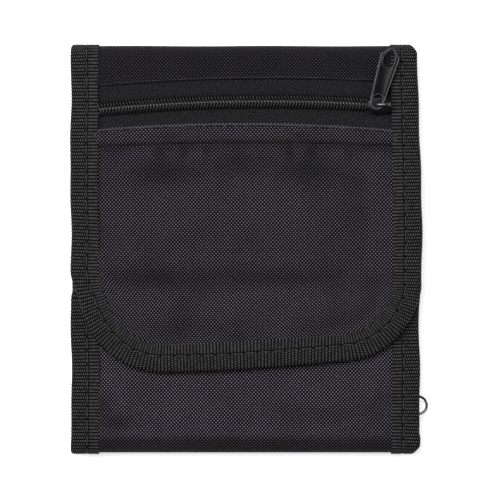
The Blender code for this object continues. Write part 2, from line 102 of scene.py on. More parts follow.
# The zip pocket's edges; each is a parabola, and its flatness is x squared over how far it has dropped.
STRIP_PEAK = (10, 66.1)
STRIP_FLATNESS = 1500
POCKET_TOP = 49.2
POCKET_ROWS_TOP = 48.7
POCKET_FLATNESS = 1350
POCKET_COLUMNS = 140
TOPSTITCH_PEAK = (3, 41.7)
TOPSTITCH_FLATNESS = 2100
FLAP_LOWEST = -46.5

# Zip.
CHAIN_PEAK = (8.0, 57.5)
CHAIN_FLATNESS = 1350.0
CHAIN_HALF_LENGTH = 57.5
COIL_PITCH = 1.23
COIL_REACH = 2.45
COIL_HEAD_AT = -0.36
COIL_WIRE = 0.23
COIL_LEAN = 0.32
COIL_Z = 13.95
ZIP_TAPE_TOP = 13.0
ZIP_TAPE_THICKNESS = 0.35
ZIP_TAPE_HALF_LENGTH = 66.5
ZIP_TAPE_START = 0.15
ZIP_TAPE_END = 11.0

# Slider.
SLIDER = (51.9, 56.0)
LOWER_PLATE = [(11.6, 0.5), (11.68, 0.15), (11.85, 0.0), (12.2, 0.0), (12.38, 0.15), (12.45, 0.5)]
UPPER_PLATE = [
    (15.12, 0.35), (15.2, 0.1), (15.35, 0.0), (15.6, 0.0),
    (15.8, 0.12), (15.93, 0.4), (16.0, 0.9), (16.04, 1.6),
]
WALL_HEIGHTS = np.array([14.86, 14.95, 15.15, 15.4])
CROWN_REAR = -1.3
CROWN_FRONT = 4.1
CROWN_BASE = 15.9
CROWN_SHOULDER = 17.3
CROWN_TOP = 18.45
PULL_LOW = 16.42
PULL_HIGH = 17.18
PULL_ANGLE = math.radians(73.9)

# Ring.
RING = (66.2, -61.0, 3.6)
RING_HALF = 3.45
RING_BEND = 0.7
RING_WIRE = 0.5
TAB_RADIUS = 0.78

# Inside.
PASSPORT_HALF_WIDTH = 54.6
PASSPORT_BOTTOM = -73.4
PASSPORT_TOP = 60.8
PASSPORT_LOW = 6.97
CARD_HALF_WIDTH = 46.4
CARD_BOTTOM = 1.2
CARD_TOPS = {"rear": 58.8, "middle": 46.8, "front": 34.8}
CARD_LOW = 7.50
CARD_SPACING = 0.5
WINDOW_HALF_WIDTH = 42.5
WINDOW_BOTTOM = -66.5
WINDOW_TOP = -11.5
WINDOW_LOW = 7.5
FRAME_HALF_WIDTH = 44.0
FRAME_LOW = 7.6
FRAME_HIGH = 7.78
HEM_LOW = 7.48
HEM_HIGH = 7.72
BOARD_HALF_WIDTH = 53.8
BOARD_HALF_HEIGHT = 72.8
PATCH_HALF_WIDTH = 34.8
PATCH_BOTTOM = -35.8
PATCH_TOP = -17.6


# --- The strip ------------------------------------------------------------------------------------

def line(y, z, along_y, along_z, length, inward):
    return {"length": length, "start": (y, z), "along": (along_y, along_z), "inward": inward}


def bend(y, z, radius, first_deg):
    first = math.radians(first_deg)
    return {"length": radius * math.pi / 2, "centre": (y, z), "radius": radius, "first": first}


STRETCHES = [
    line(FRONT_END, FRONT_Z, -1, 0, HALF_HEIGHT - BOTTOM_RADIUS + FRONT_END, (0, -1)),
    bend(BOTTOM_RADIUS - HALF_HEIGHT, FRONT_Z - BOTTOM_RADIUS, BOTTOM_RADIUS, 90),
    line(-HALF_HEIGHT, FRONT_Z - BOTTOM_RADIUS, 0, -1, FRONT_Z - 2 * BOTTOM_RADIUS, (1, 0)),
    bend(BOTTOM_RADIUS - HALF_HEIGHT, BOTTOM_RADIUS, BOTTOM_RADIUS, 180),
    line(BOTTOM_RADIUS - HALF_HEIGHT, 0, 1, 0, 2 * HALF_HEIGHT - BOTTOM_RADIUS - TOP_RADIUS, (0, 1)),
    bend(HALF_HEIGHT - TOP_RADIUS, TOP_RADIUS, TOP_RADIUS, 270),
    line(HALF_HEIGHT, TOP_RADIUS, 0, 1, FLAP_Z - 2 * TOP_RADIUS, (-1, 0)),
    bend(HALF_HEIGHT - TOP_RADIUS, FLAP_Z - TOP_RADIUS, TOP_RADIUS, 0),
    line(HALF_HEIGHT - TOP_RADIUS, FLAP_Z, -1, 0, HALF_HEIGHT - TOP_RADIUS - FLAP_END, (0, -1)),
]
STARTS = np.concatenate([[0.0], np.cumsum([part["length"] for part in STRETCHES])])
S_BOTTOM = (STARTS[2] + STARTS[3]) / 2
S_TOP_BEND = STARTS[7]
S_FLAP = STARTS[8]
S_TOP = (STARTS[6] + S_TOP_BEND) / 2
S_BACK = STARTS[4] + HALF_HEIGHT - BOTTOM_RADIUS
S_END = STARTS[-1]


def s_on_front(y):
    return FRONT_END - y


def s_on_back(y):
    return S_BACK + y


def s_on_flap(y):
    return S_FLAP + HALF_HEIGHT - TOP_RADIUS - y


def y_on_flap(s):
    return HALF_HEIGHT - TOP_RADIUS - (s - S_FLAP)


def strip(s, depth):
    """(y, z, inward y, inward z) of points on the strip; past its ends it runs on straight."""
    s, depth = np.broadcast_arrays(np.asarray(s, float), np.asarray(depth, float))
    y, z, iy, iz = (np.zeros(s.shape) for _ in range(4))
    index = np.clip(np.searchsorted(STARTS, s, "right") - 1, 0, len(STRETCHES) - 1)
    for i, part in enumerate(STRETCHES):
        here = index == i
        t = s[here] - STARTS[i]
        if "centre" in part:
            angle = part["first"] + t / part["radius"]
            iy[here], iz[here] = -np.cos(angle), -np.sin(angle)
            y[here] = part["centre"][0] + part["radius"] * np.cos(angle)
            z[here] = part["centre"][1] + part["radius"] * np.sin(angle)
        else:
            iy[here], iz[here] = part["inward"]
            y[here] = part["start"][0] + part["along"][0] * t
            z[here] = part["start"][1] + part["along"][1] * t
    return y + iy * depth, z + iz * depth, iy, iz


def smooth(t):
    t = np.clip(t, 0, 1)
    return t * t * (3 - 2 * t)


def settle(points):
    """Small departures from a true rectangle.

    The sides wave, the right one bows out half-way down, and both right corners are pulled in. On the flap,
    the left side is drawn in and the free end sags and rises.
    """
    x, y, z = points[:, 0], points[:, 1], points[:, 2]
    side = 0.6 - 1.7 * smooth((y - 24) / 45) - 0.7 * smooth((-14 - y) / 10)
    wave = 0.22 * np.sin(y / 9.0 + 1.0) + 0.14 * np.sin(y / 4.1)
    share = np.abs(x / HALF_WIDTH)
    moved_x = x + np.where(x > 0, side, 0) * share**3 + wave * share**6
    on_flap = smooth((z - 10.42) / 0.12) * smooth((y + 52) / 2)
    rise = 3.6 * np.clip((x + 22) / 60, 0, 1) ** 2 * smooth((-6 - y) / 34)
    sag = 0.5 * np.sin((x + 10) / 17.0) * smooth((-20 - y) / 25)
    narrowing = 2.5 * smooth((-8 - y) / 12) * (1 - 0.7 * smooth((-27 - y) / 14))
    narrowing = narrowing * np.clip((-x - 8) / 60, 0, 1) ** 1.3
    corner = 1.9 * smooth((y - 76.2) / 4.5) * smooth((x - 60) / 7)
    corner = corner + (2.2 * smooth((-76.2 - y) / 4.2) - 0.5 * smooth((-71 - y) / 3)) * smooth((x - 62) / 5)
    return np.stack([moved_x - corner + narrowing * on_flap, y + (rise + sag) * on_flap, z], 1)


# --- Meshes ---------------------------------------------------------------------------------------

def unit(vectors):
    return vectors / np.linalg.norm(vectors, axis=-1, keepdims=True)


def left_of(run):
    """Unit vectors at right angles to those of a flat run, on its left."""
    return unit(np.stack([-run[:, 1], run[:, 0]], 1))


def distances(points):
    """How far along a line of points each one is."""
    return np.concatenate([[0], np.cumsum(np.linalg.norm(np.diff(points, axis=0), axis=1))])


def along_line(at, t, values):
    """Rows of values given at distances t, at other distances."""
    return np.stack([np.interp(at, t, column) for column in values.T], -1)


def grid_faces(rows, columns, wrap_rows=False, wrap_columns=False, first=0):
    """Quads of a grid of points stored row by row."""
    r = np.arange(rows if wrap_rows else rows - 1)
    c = np.arange(columns if wrap_columns else columns - 1)
    r, c = (a.ravel() for a in np.meshgrid(r, c, indexing="ij"))
    r2, c2 = (r + 1) % rows, (c + 1) % columns
    return np.stack([r * columns + c, r * columns + c2, r2 * columns + c2, r2 * columns + c], 1) + first


def capped_faces(rings, sides, first=0):
    """Faces of a tube of points stored ring by ring, closed at both ends."""
    faces = grid_faces(rings, sides, wrap_columns=True, first=first).tolist()
    faces.append(tuple(first + k for k in range(sides))[::-1])
    faces.append(tuple(first + (rings - 1) * sides + k for k in range(sides)))
    return faces


class Part:
    """Points in mm, faces, and for each point where it lies in its material's pattern, in mm."""

    def __init__(self, points, faces, uv=None, slot=0):
        self.points = np.asarray(points, float).reshape(-1, 3)
        self.faces = [tuple(int(i) for i in face) for face in faces]
        flat = np.zeros((len(self.points), 2)) if uv is None else uv
        self.uv = np.asarray(flat, float).reshape(-1, 2)
        self.slot = slot


def build(name, parts, materials):
    """One mesh object of several parts; slot numbers pick their materials."""
    points, faces, slots, uv, first = [], [], [], [], 0
    for part in parts:
        points.append(part.points)
        uv.append(part.uv)
        faces += [tuple(i + first for i in face) for face in part.faces]
        slots += [part.slot] * len(part.faces)
        first += len(part.points)
    mesh = bpy.data.meshes.new(name)
    mesh.from_pydata((np.concatenate(points) * MM).tolist(), [], faces)
    mesh.polygons.foreach_set("material_index", slots)
    corners = np.empty(len(mesh.loops), np.int32)
    mesh.loops.foreach_get("vertex_index", corners)
    layer = mesh.uv_layers.new(name="UVMap")
    layer.data.foreach_set("uv", (np.concatenate(uv) * MM)[corners].ravel().astype(np.float32))
    bm = bmesh.new()
    bm.from_mesh(mesh)
    bmesh.ops.recalc_face_normals(bm, faces=bm.faces)
    bm.to_mesh(mesh)
    bm.free()
    mesh.polygons.foreach_set("use_smooth", [True] * len(mesh.polygons))
    for material in materials:
        mesh.materials.append(material)
    obj = bpy.data.objects.new(name + LOOK, mesh)
    bpy.context.scene.collection.objects.link(obj)
    return obj


def sharpen(obj, degrees):
    """Keeps edges sharper than this from being shaded smooth."""
    bm = bmesh.new()
    bm.from_mesh(obj.data)
    for edge in bm.edges:
        if len(edge.link_faces) == 2 and edge.calc_face_angle(0) > math.radians(degrees):
            edge.smooth = False
    bm.to_mesh(obj.data)
    bm.free()
    return obj


def slab(outer, inner, uv, rows, columns, slot=0):
    """A closed thin solid between two grids of points."""
    n = rows * columns
    faces = grid_faces(rows, columns).tolist()
    faces += [face[::-1] for face in grid_faces(rows, columns, first=n).tolist()]
    top = list(range(columns))
    bottom = [(rows - 1) * columns + c for c in range(columns)][::-1]
    left = [r * columns for r in range(rows)][::-1]
    right = [r * columns + columns - 1 for r in range(rows)]
    for side in (top, right, bottom, left):
        for a, b in zip(side[:-1], side[1:]):
            faces.append((b, a, a + n, b + n))
    return Part(np.concatenate([outer, inner]), faces, np.concatenate([uv, uv]), slot)


def tube(points, radius, sides, closed=False, slot=0, flat=(1.0, 1.0), up=None):
    """A round or flattened tube along points, with flat ends; up fixes which way it is flattened."""
    points = np.asarray(points, float)
    n = len(points)
    if closed:
        run = unit(np.roll(points, -1, 0) - np.roll(points, 1, 0))
    else:
        run = unit(np.gradient(points, axis=0))
    if up is None:
        across = np.zeros_like(run)
        seed = np.array([0.0, 0.0, 1.0]) if abs(run[0, 2]) < 0.9 else np.array([1.0, 0.0, 0.0])
        current = np.cross(run[0], seed)
        for i in range(n):
            current = unit(current - run[i] * (current @ run[i]))
            across[i] = current
    else:
        across = unit(np.cross(run, np.asarray(up, float)))
    other = np.cross(across, run)
    radii = np.broadcast_to(np.asarray(radius, float), (n,))
    angle = np.arange(sides) * 2 * math.pi / sides
    ring = across[:, None] * np.cos(angle)[None, :, None] * flat[0]
    ring = ring + other[:, None] * np.sin(angle)[None, :, None] * flat[1]
    body = points[:, None] + ring * radii[:, None, None]
    uv = np.stack(np.broadcast_arrays(distances(points)[:, None], (angle * radii.mean())[None]), 2)
    if closed:
        faces = grid_faces(n, sides, wrap_rows=True, wrap_columns=True)
    else:
        faces = capped_faces(n, sides)
    return Part(body, faces, uv, slot)


THREAD_SIDES = 6
THREAD_SHARE = np.array([0.0, 0.06, 0.16, 0.34, 0.5, 0.66, 0.84, 0.94, 1.0])
THREAD_RISE = np.array([-1.3, -0.1, 0.55, 0.85, 0.9, 0.85, 0.55, -0.1, -1.3])
THREAD_GIRTH = np.array([0.5, 0.8, 0.95, 1.05, 1.08, 1.05, 0.95, 0.8, 0.5])


def stitches(points, normals, length=STITCH_LENGTH, gap=STITCH_GAP, radius=THREAD, shift=0.3):
    """Threads lying along a line of points, each going down through the fabric at both ends."""
    t = distances(points)
    count = int((t[-1] - shift) // (length + gap))
    starts = shift + np.arange(count) * (length + gap)
    at = starts[:, None] + THREAD_SHARE[None] * length
    lie = along_line(at, t, points)
    up = unit(along_line(at, t, normals))
    across = np.cross(unit(np.gradient(lie, axis=1)), up)
    lie = lie + up * (THREAD_RISE * radius)[None, :, None]
    angle = np.arange(THREAD_SIDES) * 2 * math.pi / THREAD_SIDES
    ring = across[:, :, None] * np.cos(angle)[:, None] + up[:, :, None] * np.sin(angle)[:, None] * 0.8
    body = lie[:, :, None] + ring * (THREAD_GIRTH * radius)[None, :, None, None]
    along = np.broadcast_to((THREAD_SHARE * length)[None, :, None], body.shape[:3])
    around = np.broadcast_to(angle * radius, body.shape[:3])
    faces = []
    for k in range(count):
        faces += capped_faces(len(THREAD_SHARE), THREAD_SIDES, k * len(THREAD_SHARE) * THREAD_SIDES)
    return Part(body, faces, np.stack([along, around], 3), slot=1)


# --- Materials ------------------------------------------------------------------------------------

class Shader:
    """A material and short calls that add nodes to it. Positions on the cloth come from UVs, in mm."""

    def __init__(self, name):
        self.material = bpy.data.materials.new(name)
        self.material.use_nodes = True
        self.nodes = self.material.node_tree.nodes
        self.links = self.material.node_tree.links
        self.surface = self.nodes["Principled BSDF"]
        across = self.nodes.new("ShaderNodeUVMap")
        across.uv_map = "UVMap"
        split = self.nodes.new("ShaderNodeSeparateXYZ")
        self.links.new(across.outputs[0], split.inputs[0])
        self.u = self.times(split.outputs[0], 1 / MM)
        self.v = self.times(split.outputs[1], 1 / MM)

    def put(self, socket, value):
        if isinstance(value, bpy.types.NodeSocket):
            self.links.new(value, socket)
        else:
            socket.default_value = value

    def math(self, operation, *values):
        node = self.nodes.new("ShaderNodeMath")
        node.operation = operation
        for socket, value in zip(node.inputs, values):
            self.put(socket, value)
        return node.outputs[0]

    def plus(self, first, second):
        return self.math("ADD", first, second)

    def minus(self, first, second):
        return self.math("SUBTRACT", first, second)

    def times(self, first, second):
        return self.math("MULTIPLY", first, second)

    def wave(self, value, period):
        """A cosine of value, 1 at 0."""
        return self.math("COSINE", self.times(value, 2 * math.pi / period))

    def step(self, value, low, high, to_low=0.0, to_high=1.0):
        """A smooth change from to_low, where value is at low, to to_high, where it is at high."""
        node = self.nodes.new("ShaderNodeMapRange")
        node.interpolation_type = "SMOOTHSTEP"
        for socket, put in zip(node.inputs, (value, low, high, to_low, to_high)):
            self.put(socket, put)
        return node.outputs[0]

    def place(self, u, v):
        """A vector of two values."""
        node = self.nodes.new("ShaderNodeCombineXYZ")
        self.put(node.inputs[0], u)
        self.put(node.inputs[1], v)
        return node.outputs[0]

    def noise(self, scale, detail, stretch=1.0):
        """Smooth noise over the cloth, about 0.5; scale is how many lumps there are in a mm."""
        node = self.nodes.new("ShaderNodeTexNoise")
        self.put(node.inputs["Vector"], self.place(self.times(self.u, stretch), self.v))
        self.put(node.inputs["Scale"], scale)
        self.put(node.inputs["Detail"], detail)
        return node.outputs[0]

    def chance(self, u, v):
        """A random number for each whole (u, v)."""
        node = self.nodes.new("ShaderNodeTexWhiteNoise")
        node.noise_dimensions = "2D"
        self.put(node.inputs["Vector"], self.place(self.math("ROUND", u), self.math("ROUND", v)))
        return node.outputs[0]

    def blot(self, at, size, bow):
        """A soft spot or line, 1 at its middle; bow bends a line to the curve u^2 * bow."""
        aside = self.math("POWER", self.minus(self.u, at[0]), 2.0)
        across = self.times(aside, size[0] ** -2)
        beyond = self.minus(self.minus(self.v, at[1]), self.times(aside, bow))
        along = self.math("POWER", self.math("DIVIDE", beyond, size[1]), 2.0)
        return self.math("EXPONENT", self.times(self.plus(across, along), -1.0))

    def mix(self, share, first, second):
        node = self.nodes.new("ShaderNodeMix")
        node.data_type = "RGBA"
        self.put(node.inputs[0], share)
        self.put(node.inputs[6], first)
        self.put(node.inputs[7], second)
        return node.outputs[2]

    def bump(self, height, distance_mm):
        node = self.nodes.new("ShaderNodeBump")
        self.put(node.inputs["Height"], height)
        node.inputs["Distance"].default_value = distance_mm * MM
        self.links.new(node.outputs[0], self.surface.inputs["Normal"])

    def finish(self, colour, rough, specular=0.5):
        self.put(self.surface.inputs["Base Color"], colour)
        self.put(self.surface.inputs["Roughness"], rough)
        self.surface.inputs["Specular IOR Level"].default_value = specular
        return self.material

    def dyed(self, share, dark, light, tint):
        """A colour from dark to light as share goes from 0 to 1."""
        return self.mix(share, grey(dark, tint), grey(light, tint))


def grey(level, tint):
    return (*(level * t for t in tint), 1.0)


NEUTRAL = (1.0, 1.0, 1.0)
PURPLE = (1.0, 0.90, 1.16)
WARM = (1.0, 0.985, 1.0)
YARN_U = 0.67
YARN_V = 0.74


def oxford(name, light, dark, tint, painted_shading=(), band=None, roll=None):
    """Plain weave of thick yarns: where a warp yarn passes over, it stands up, and the light it catches is
    painted into its colour.

    The first list holds painted shade, each (middle, size, how much darker, bow), and paints light where that
    is below 0. band paints shade toward a fold, and roll (middle, size, strength, bow) is a painted highlight
    all along a folded edge.
    """
    s = Shader(name)
    drift = s.times(s.minus(s.noise(0.09, 1.0), 0.5), 0.5)
    u = s.math("DIVIDE", s.plus(s.u, drift), YARN_U)
    v = s.math("DIVIDE", s.plus(s.v, drift), YARN_V)
    over = s.times(s.wave(u, 2.0), s.wave(v, 2.0))
    # Painted highlight: yarns that pass over get the light colour, and the rest get the dark one.
    lit = s.step(over, 0.28, 0.9)
    each = s.plus(0.92, s.times(s.chance(u, v), 0.16))
    strands = s.plus(0.92, s.times(s.noise(9.0, 1.0, 3.0), 0.16))
    share = s.times(s.times(lit, each), strands)
    patches = s.step(s.noise(0.045, 2.0), 0.3, 0.65, 0.85, 1.12)
    # Painted shade: each spot darkens the colour, and one below 0 paints light.
    for middle, size, darkening, bow in painted_shading:
        kept = s.minus(1.0, s.times(s.blot(middle, size, bow), darkening))
        patches = s.times(patches, kept)
    # Painted shade: the colour darkens toward a fold.
    if band:
        patches = s.times(patches, s.step(s.v, band[0], band[1], band[2], 1.0))
    share = s.times(share, patches)
    # Painted highlight along a folded edge.
    if roll:
        share = s.plus(share, s.times(s.blot(roll[0], roll[1], roll[3]), roll[2]))
    under = s.math("ABSOLUTE", s.math("MINIMUM", over, 0.0))
    height = s.plus(s.math("POWER", s.math("MAXIMUM", over, 0.0), 0.7), s.times(under, 0.45))
    s.bump(height, 0.13)
    return s.finish(s.dyed(share, dark, light, tint), s.step(lit, 0.0, 1.0, 0.95, 0.42), 0.15)


def grosgrain(name, light, dark, tint):
    """Ribbed tape: u runs along it, one rib to each RIB_PITCH, and v is the distance from the folded edge."""
    s = Shader(name)
    rib = s.math("ABSOLUTE", s.math("SINE", s.times(s.u, math.pi / RIB_PITCH)))
    # Painted highlight: the rib crests get the light colour.
    crest = s.step(rib, 0.45, 1.0)
    number = s.math("FLOOR", s.math("DIVIDE", s.u, RIB_PITCH))
    v = s.plus(s.math("DIVIDE", s.v, 0.88), s.times(number, 0.45))
    beads = s.step(s.wave(v, 1.0), -0.35, 0.65)
    plain = s.step(s.v, SEAM_INSET - 0.1, SEAM_INSET + 0.3)
    joined = s.plus(0.3, s.times(beads, 0.45))
    along = s.plus(s.times(beads, s.minus(1.0, plain)), s.times(plain, joined))
    # Painted shade in the seam's groove: the colour darkens along the stitch line.
    off_seam = s.math("ABSOLUTE", s.minus(s.v, SEAM_INSET + 0.1))
    along = s.times(along, s.step(off_seam, 0.3, 0.7))
    each = s.plus(0.7, s.times(s.chance(number, s.times(s.v, 0.9)), 0.55))
    fuzz = s.plus(0.7, s.times(s.noise(3.0, 3.0), 0.6))
    share = s.times(s.times(crest, along), s.times(each, fuzz))
    height = s.plus(s.times(along, 0.6), s.times(s.noise(6.0, 2.0), 0.5))
    s.bump(height, 0.09)
    return s.finish(s.dyed(share, dark, light, tint), 0.68, 0.08)


LINING_YARN = 0.3
LINING_CHECK = 2.9


def fine_cloth(name, light, dark, tint):
    """Thin plain-woven lining, with a heavier yarn each way at every LINING_CHECK."""
    s = Shader(name)
    over = s.times(s.wave(s.u, 2 * LINING_YARN), s.wave(s.v, 2 * LINING_YARN))
    lines = s.step(s.wave(s.plus(s.u, s.noise(0.2, 1.0)), LINING_CHECK), 0.93, 1.0)
    cross = s.step(s.wave(s.plus(s.v, s.noise(0.2, 1.0)), LINING_CHECK), 0.93, 1.0)
    heavy = s.math("MAXIMUM", lines, cross)
    share = s.plus(s.times(s.step(over, -0.6, 0.8), 0.75), heavy)
    s.bump(s.plus(over, s.times(heavy, 1.5)), 0.035)
    return s.finish(s.dyed(share, dark, light, tint), 0.55, 0.15)


def twill_tape(name, light, dark, tint):
    """The zip's tape: narrow bands of slanting ribs that change direction at each band."""
    s = Shader(name)
    zigzag = s.math("PINGPONG", s.v, 2.1)
    slant = s.plus(s.u, s.times(zigzag, 1.15))
    rib = s.wave(slant, 1.16)
    fine = s.wave(s.minus(s.u, zigzag), 0.43)
    share = s.times(s.step(rib, -0.9, 0.9, 0.1, 1.1), s.step(s.noise(2.2, 2.0), 0.3, 0.7, 0.05, 1.5))
    # Painted shade: the tape darkens beside the chain, under the coil.
    share = s.times(share, s.step(s.math("ABSOLUTE", s.v), 2.3, 3.2))
    s.bump(s.plus(rib, s.times(fine, 0.35)), 0.06)
    return s.finish(s.dyed(share, dark, light, tint), 0.75, 0.08)


def twisted_thread(name, level):
    """Two-ply thread, darker between its plies."""
    s = Shader(name)
    ply = s.wave(s.plus(s.u, s.times(s.v, 0.7)), 0.42)
    s.bump(ply, 0.05)
    return s.finish(s.dyed(s.step(ply, -1.0, 1.0), level * 0.4, level, NEUTRAL), 0.6, 0.15)


def plain_finish(name, colour, rough, metallic=0.0, grain=0.0, specular=0.5):
    """A smooth material; grain is how much darker its spots are."""
    s = Shader(name)
    shade = s.step(s.noise(2.0, 3.0), 0.25, 0.75, 1 - grain, 1.0)
    s.surface.inputs["Metallic"].default_value = metallic
    marks = s.step(s.noise(5.0, 2.0), 0.2, 0.8, rough * 0.8, rough * 1.25)
    return s.finish(s.mix(shade, grey(0.0, NEUTRAL), (*colour, 1.0)), marks, specular)


NYLON = oxford("oxford_nylon", 0.18, 0.002, PURPLE)
# Painted shade on the flap over its dents, each (x, y, size, how much darker); below 0 is painted light.
FLAP_SHADE_PATCHES = [
    (-30, 30, (17, 6), 0.62), (24, 31, (14, 6), 0.6), (-2, 34, (9, 5), 0.5),
    (-38, -11, (20, 5), 0.6), (10, -11, (30, 4.5), 0.5), (44, 12, (5, 18), 0.35),
    (-22, -30, (14, 5), 0.3), (5, 12, (32, 12), -0.1),
]
# Painted shade along the topstitch's line and just under it.
FLAP_SEAM_SHADE = [(*TOPSTITCH_PEAK, (200, 0.6), 0.9), (TOPSTITCH_PEAK[0], 40.2, (200, 1.3), 0.35)]
# Painted shade under the puckers along the topstitch and the hem.
FLAP_PUCKER_SHADE = [
    (-33, 37.6, (2.4, 3.2), 0.5), (-24, 38.0, (2.0, 3.0), 0.55), (-15, 38.2, (1.8, 2.6), 0.55),
    (17, 38.2, (2.0, 3.4), 0.6), (25, 37.8, (2.4, 3.0), 0.5), (40, 37.4, (2.4, 2.6), 0.4),
    (-30, 44.2, (4.0, 1.6), 0.35), (21, 44.5, (3.2, 1.6), 0.4),
]
# Painted shade on the front over its dents; below 0 is painted light.
FRONT_SHADE_PATCHES = [
    (-50.5, -67, (6, 3.4), 0.6), (-55.5, -60, (3.6, 5), 0.55), (-49, -60, (3.5, 5), -0.15),
    (28, -64, (22, 4), 0.3),
]


def painted_shading(spots, s_at, bow=0):
    """Painted shade spots for oxford, from (x, y, size, how much darker); below 0 they paint light."""
    return [((x, s_at(y)), size, darkening, bow) for x, y, size, darkening in spots]


FLAP_SHADING = painted_shading(FLAP_SHADE_PATCHES, s_on_flap) + painted_shading(FLAP_SEAM_SHADE, s_on_flap, 1 / TOPSTITCH_FLATNESS)
FLAP_SHADING += painted_shading(FLAP_PUCKER_SHADE, s_on_flap)
# Painted highlight along the zip pocket's folded top edge.
FLAP_ROLL_HIGHLIGHT = ((0, s_on_flap(POCKET_TOP - 0.45)), (200, 0.42), 0.17, 1 / POCKET_FLATNESS)
FLAP_NYLON = oxford("oxford_nylon_flap", 0.194, 0.002, PURPLE, FLAP_SHADING, roll=FLAP_ROLL_HIGHLIGHT)
FRONT_SHADING = painted_shading(FRONT_SHADE_PATCHES, s_on_front)
# Painted shade over the front's lowest few mm, where it curves away round the bottom fold.
FRONT_FOLD_SHADE = (s_on_front(-75), s_on_front(-71.5), 0.34)
FRONT_NYLON = oxford("oxford_nylon_front", 0.24, 0.002, PURPLE, FRONT_SHADING, FRONT_FOLD_SHADE)
# Painted shade: a darker copy of the nylon for the strip above the zip, which tilts away from the light.
STRIP_NYLON_SHADED = oxford("oxford_nylon_strip", 0.056, 0.003, PURPLE)
TAPE = grosgrain("grosgrain", 0.092, 0.002, WARM)
LINING = fine_cloth("lining", 0.034, 0.006, PURPLE)
ZIP_CLOTH = twill_tape("zip_tape", 0.033, 0.0015, (1.0, 0.94, 1.10))
BLACK_THREAD = twisted_thread("thread", 0.022)
SEAM_THREAD = twisted_thread("seam_thread", 0.09)
# Near black, darker than the coil, so that it paints shade in the gaps between the coil's turns.
CORE_THREAD = twisted_thread("zip_core", 0.003)
COIL_NYLON = plain_finish("zip_coil", (0.02, 0.019, 0.021), 0.28, specular=0.35)
# A light copy of the coil's nylon that paints the highlights where the coils' heads meet.
COIL_HEAD_HIGHLIGHT = plain_finish("zip_coil_head", (0.27, 0.26, 0.27), 0.25)
ENAMEL = plain_finish("black_enamel", (0.005, 0.005, 0.006), 0.22, grain=0.2, specular=0.12)
# A lighter, glossier copy of the enamel: its lighter colour paints part of the crown's highlight, and its
# gloss gives the rest.
CROWN_ENAMEL = plain_finish("crown_enamel", (0.02, 0.02, 0.022), 0.2, specular=1.0)
# Lighter, part-metallic copy of the enamel for the beads round the pull's edges: painted highlight.
RIM_HIGHLIGHT_ENAMEL = plain_finish("enamel_edge", (0.075, 0.072, 0.078), 0.3, metallic=0.3)
NICKEL = plain_finish("nickel", (0.17, 0.165, 0.16), 0.14, metallic=1.0, grain=0.15)
FOAM = plain_finish("foam", (0.25, 0.25, 0.26), 0.9, grain=0.4)
HOOK = plain_finish("hook_tape", (0.022, 0.022, 0.023), 0.45)
PILE = plain_finish("loop_tape", (0.030, 0.030, 0.031), 0.85)


def clear_vinyl():
    s = Shader("clear_vinyl")
    s.bump(s.noise(0.12, 2.0), 0.25)
    s.surface.inputs["Alpha"].default_value = 0.09
    return s.finish((0.42, 0.44, 0.46, 1.0), 0.14)


VINYL = clear_vinyl()


# --- Pieces made in the flat, then wrapped round the folds ----------------------------------------

def wrap(x, s, depth):
    """Points in space of (x, s, depth) on the strip."""
    x, s, depth = np.broadcast_arrays(*(np.asarray(a, float) for a in (x, s, depth)))
    y, z, _, _ = strip(s.ravel(), depth.ravel())
    return settle(np.stack([x.ravel(), y, z], 1))


def outward_at(s):
    """The direction out of the strip's outer face."""
    _, _, iy, iz = strip(s, 0.0)
    return np.stack([np.zeros_like(iy), -iy, -iz], -1)


def free_edge(s_start, s_end, left, right):
    """A panel's edge in the flat, from its left side round its free end: points and directions into it."""
    toward = math.copysign(1.0, s_end - s_start)
    run = abs(s_end - s_start)
    points, into = [], []

    def straight_on(x, s, heading, inward, length):
        n = int(length / EDGE_STEP)
        for i in range(n):
            points.append((x + heading[0] * length * i / n, s + heading[1] * length * i / n))
            into.append(inward)

    def round_corner(side, radius):
        n = int(radius * math.pi / 2 / EDGE_STEP)
        for i in range(n):
            a = math.pi / 2 * (i / n if side < 0 else 1 - i / n)
            out = (side * math.cos(a), toward * math.sin(a))
            middle = (side * (HALF_WIDTH - radius), s_end - toward * radius)
            points.append((middle[0] + radius * out[0], middle[1] + radius * out[1]))
            into.append((-out[0], -out[1]))

    straight_on(-HALF_WIDTH, s_start, (0, toward), (1.0, 0.0), run - left)
    round_corner(-1, left)
    straight_on(left - HALF_WIDTH, s_end, (1, 0), (0.0, -toward), 2 * HALF_WIDTH - left - right)
    round_corner(1, right)
    straight_on(HALF_WIDTH, s_end - toward * right, (0, -toward), (-1.0, 0.0), run - right)
    points.append((HALF_WIDTH, s_start))
    into.append((-1.0, 0.0))
    return np.array(points), np.array(into)


def side_edge(side, s_start, s_end):
    s = np.linspace(s_start, s_end, int(abs(s_end - s_start) / EDGE_STEP))
    points = np.stack([np.full_like(s, side * HALF_WIDTH), s], 1)
    return points, np.tile([-float(side), 0.0], (len(s), 1))


def respaced(points, into, offset, step):
    """The edge again, at equal steps along the line that runs offset inside it, and how far along each is."""
    t = distances(points + into * offset)
    at = np.arange(0, t[-1], step)
    return along_line(at, t, points), unit(along_line(at, t, into)), at


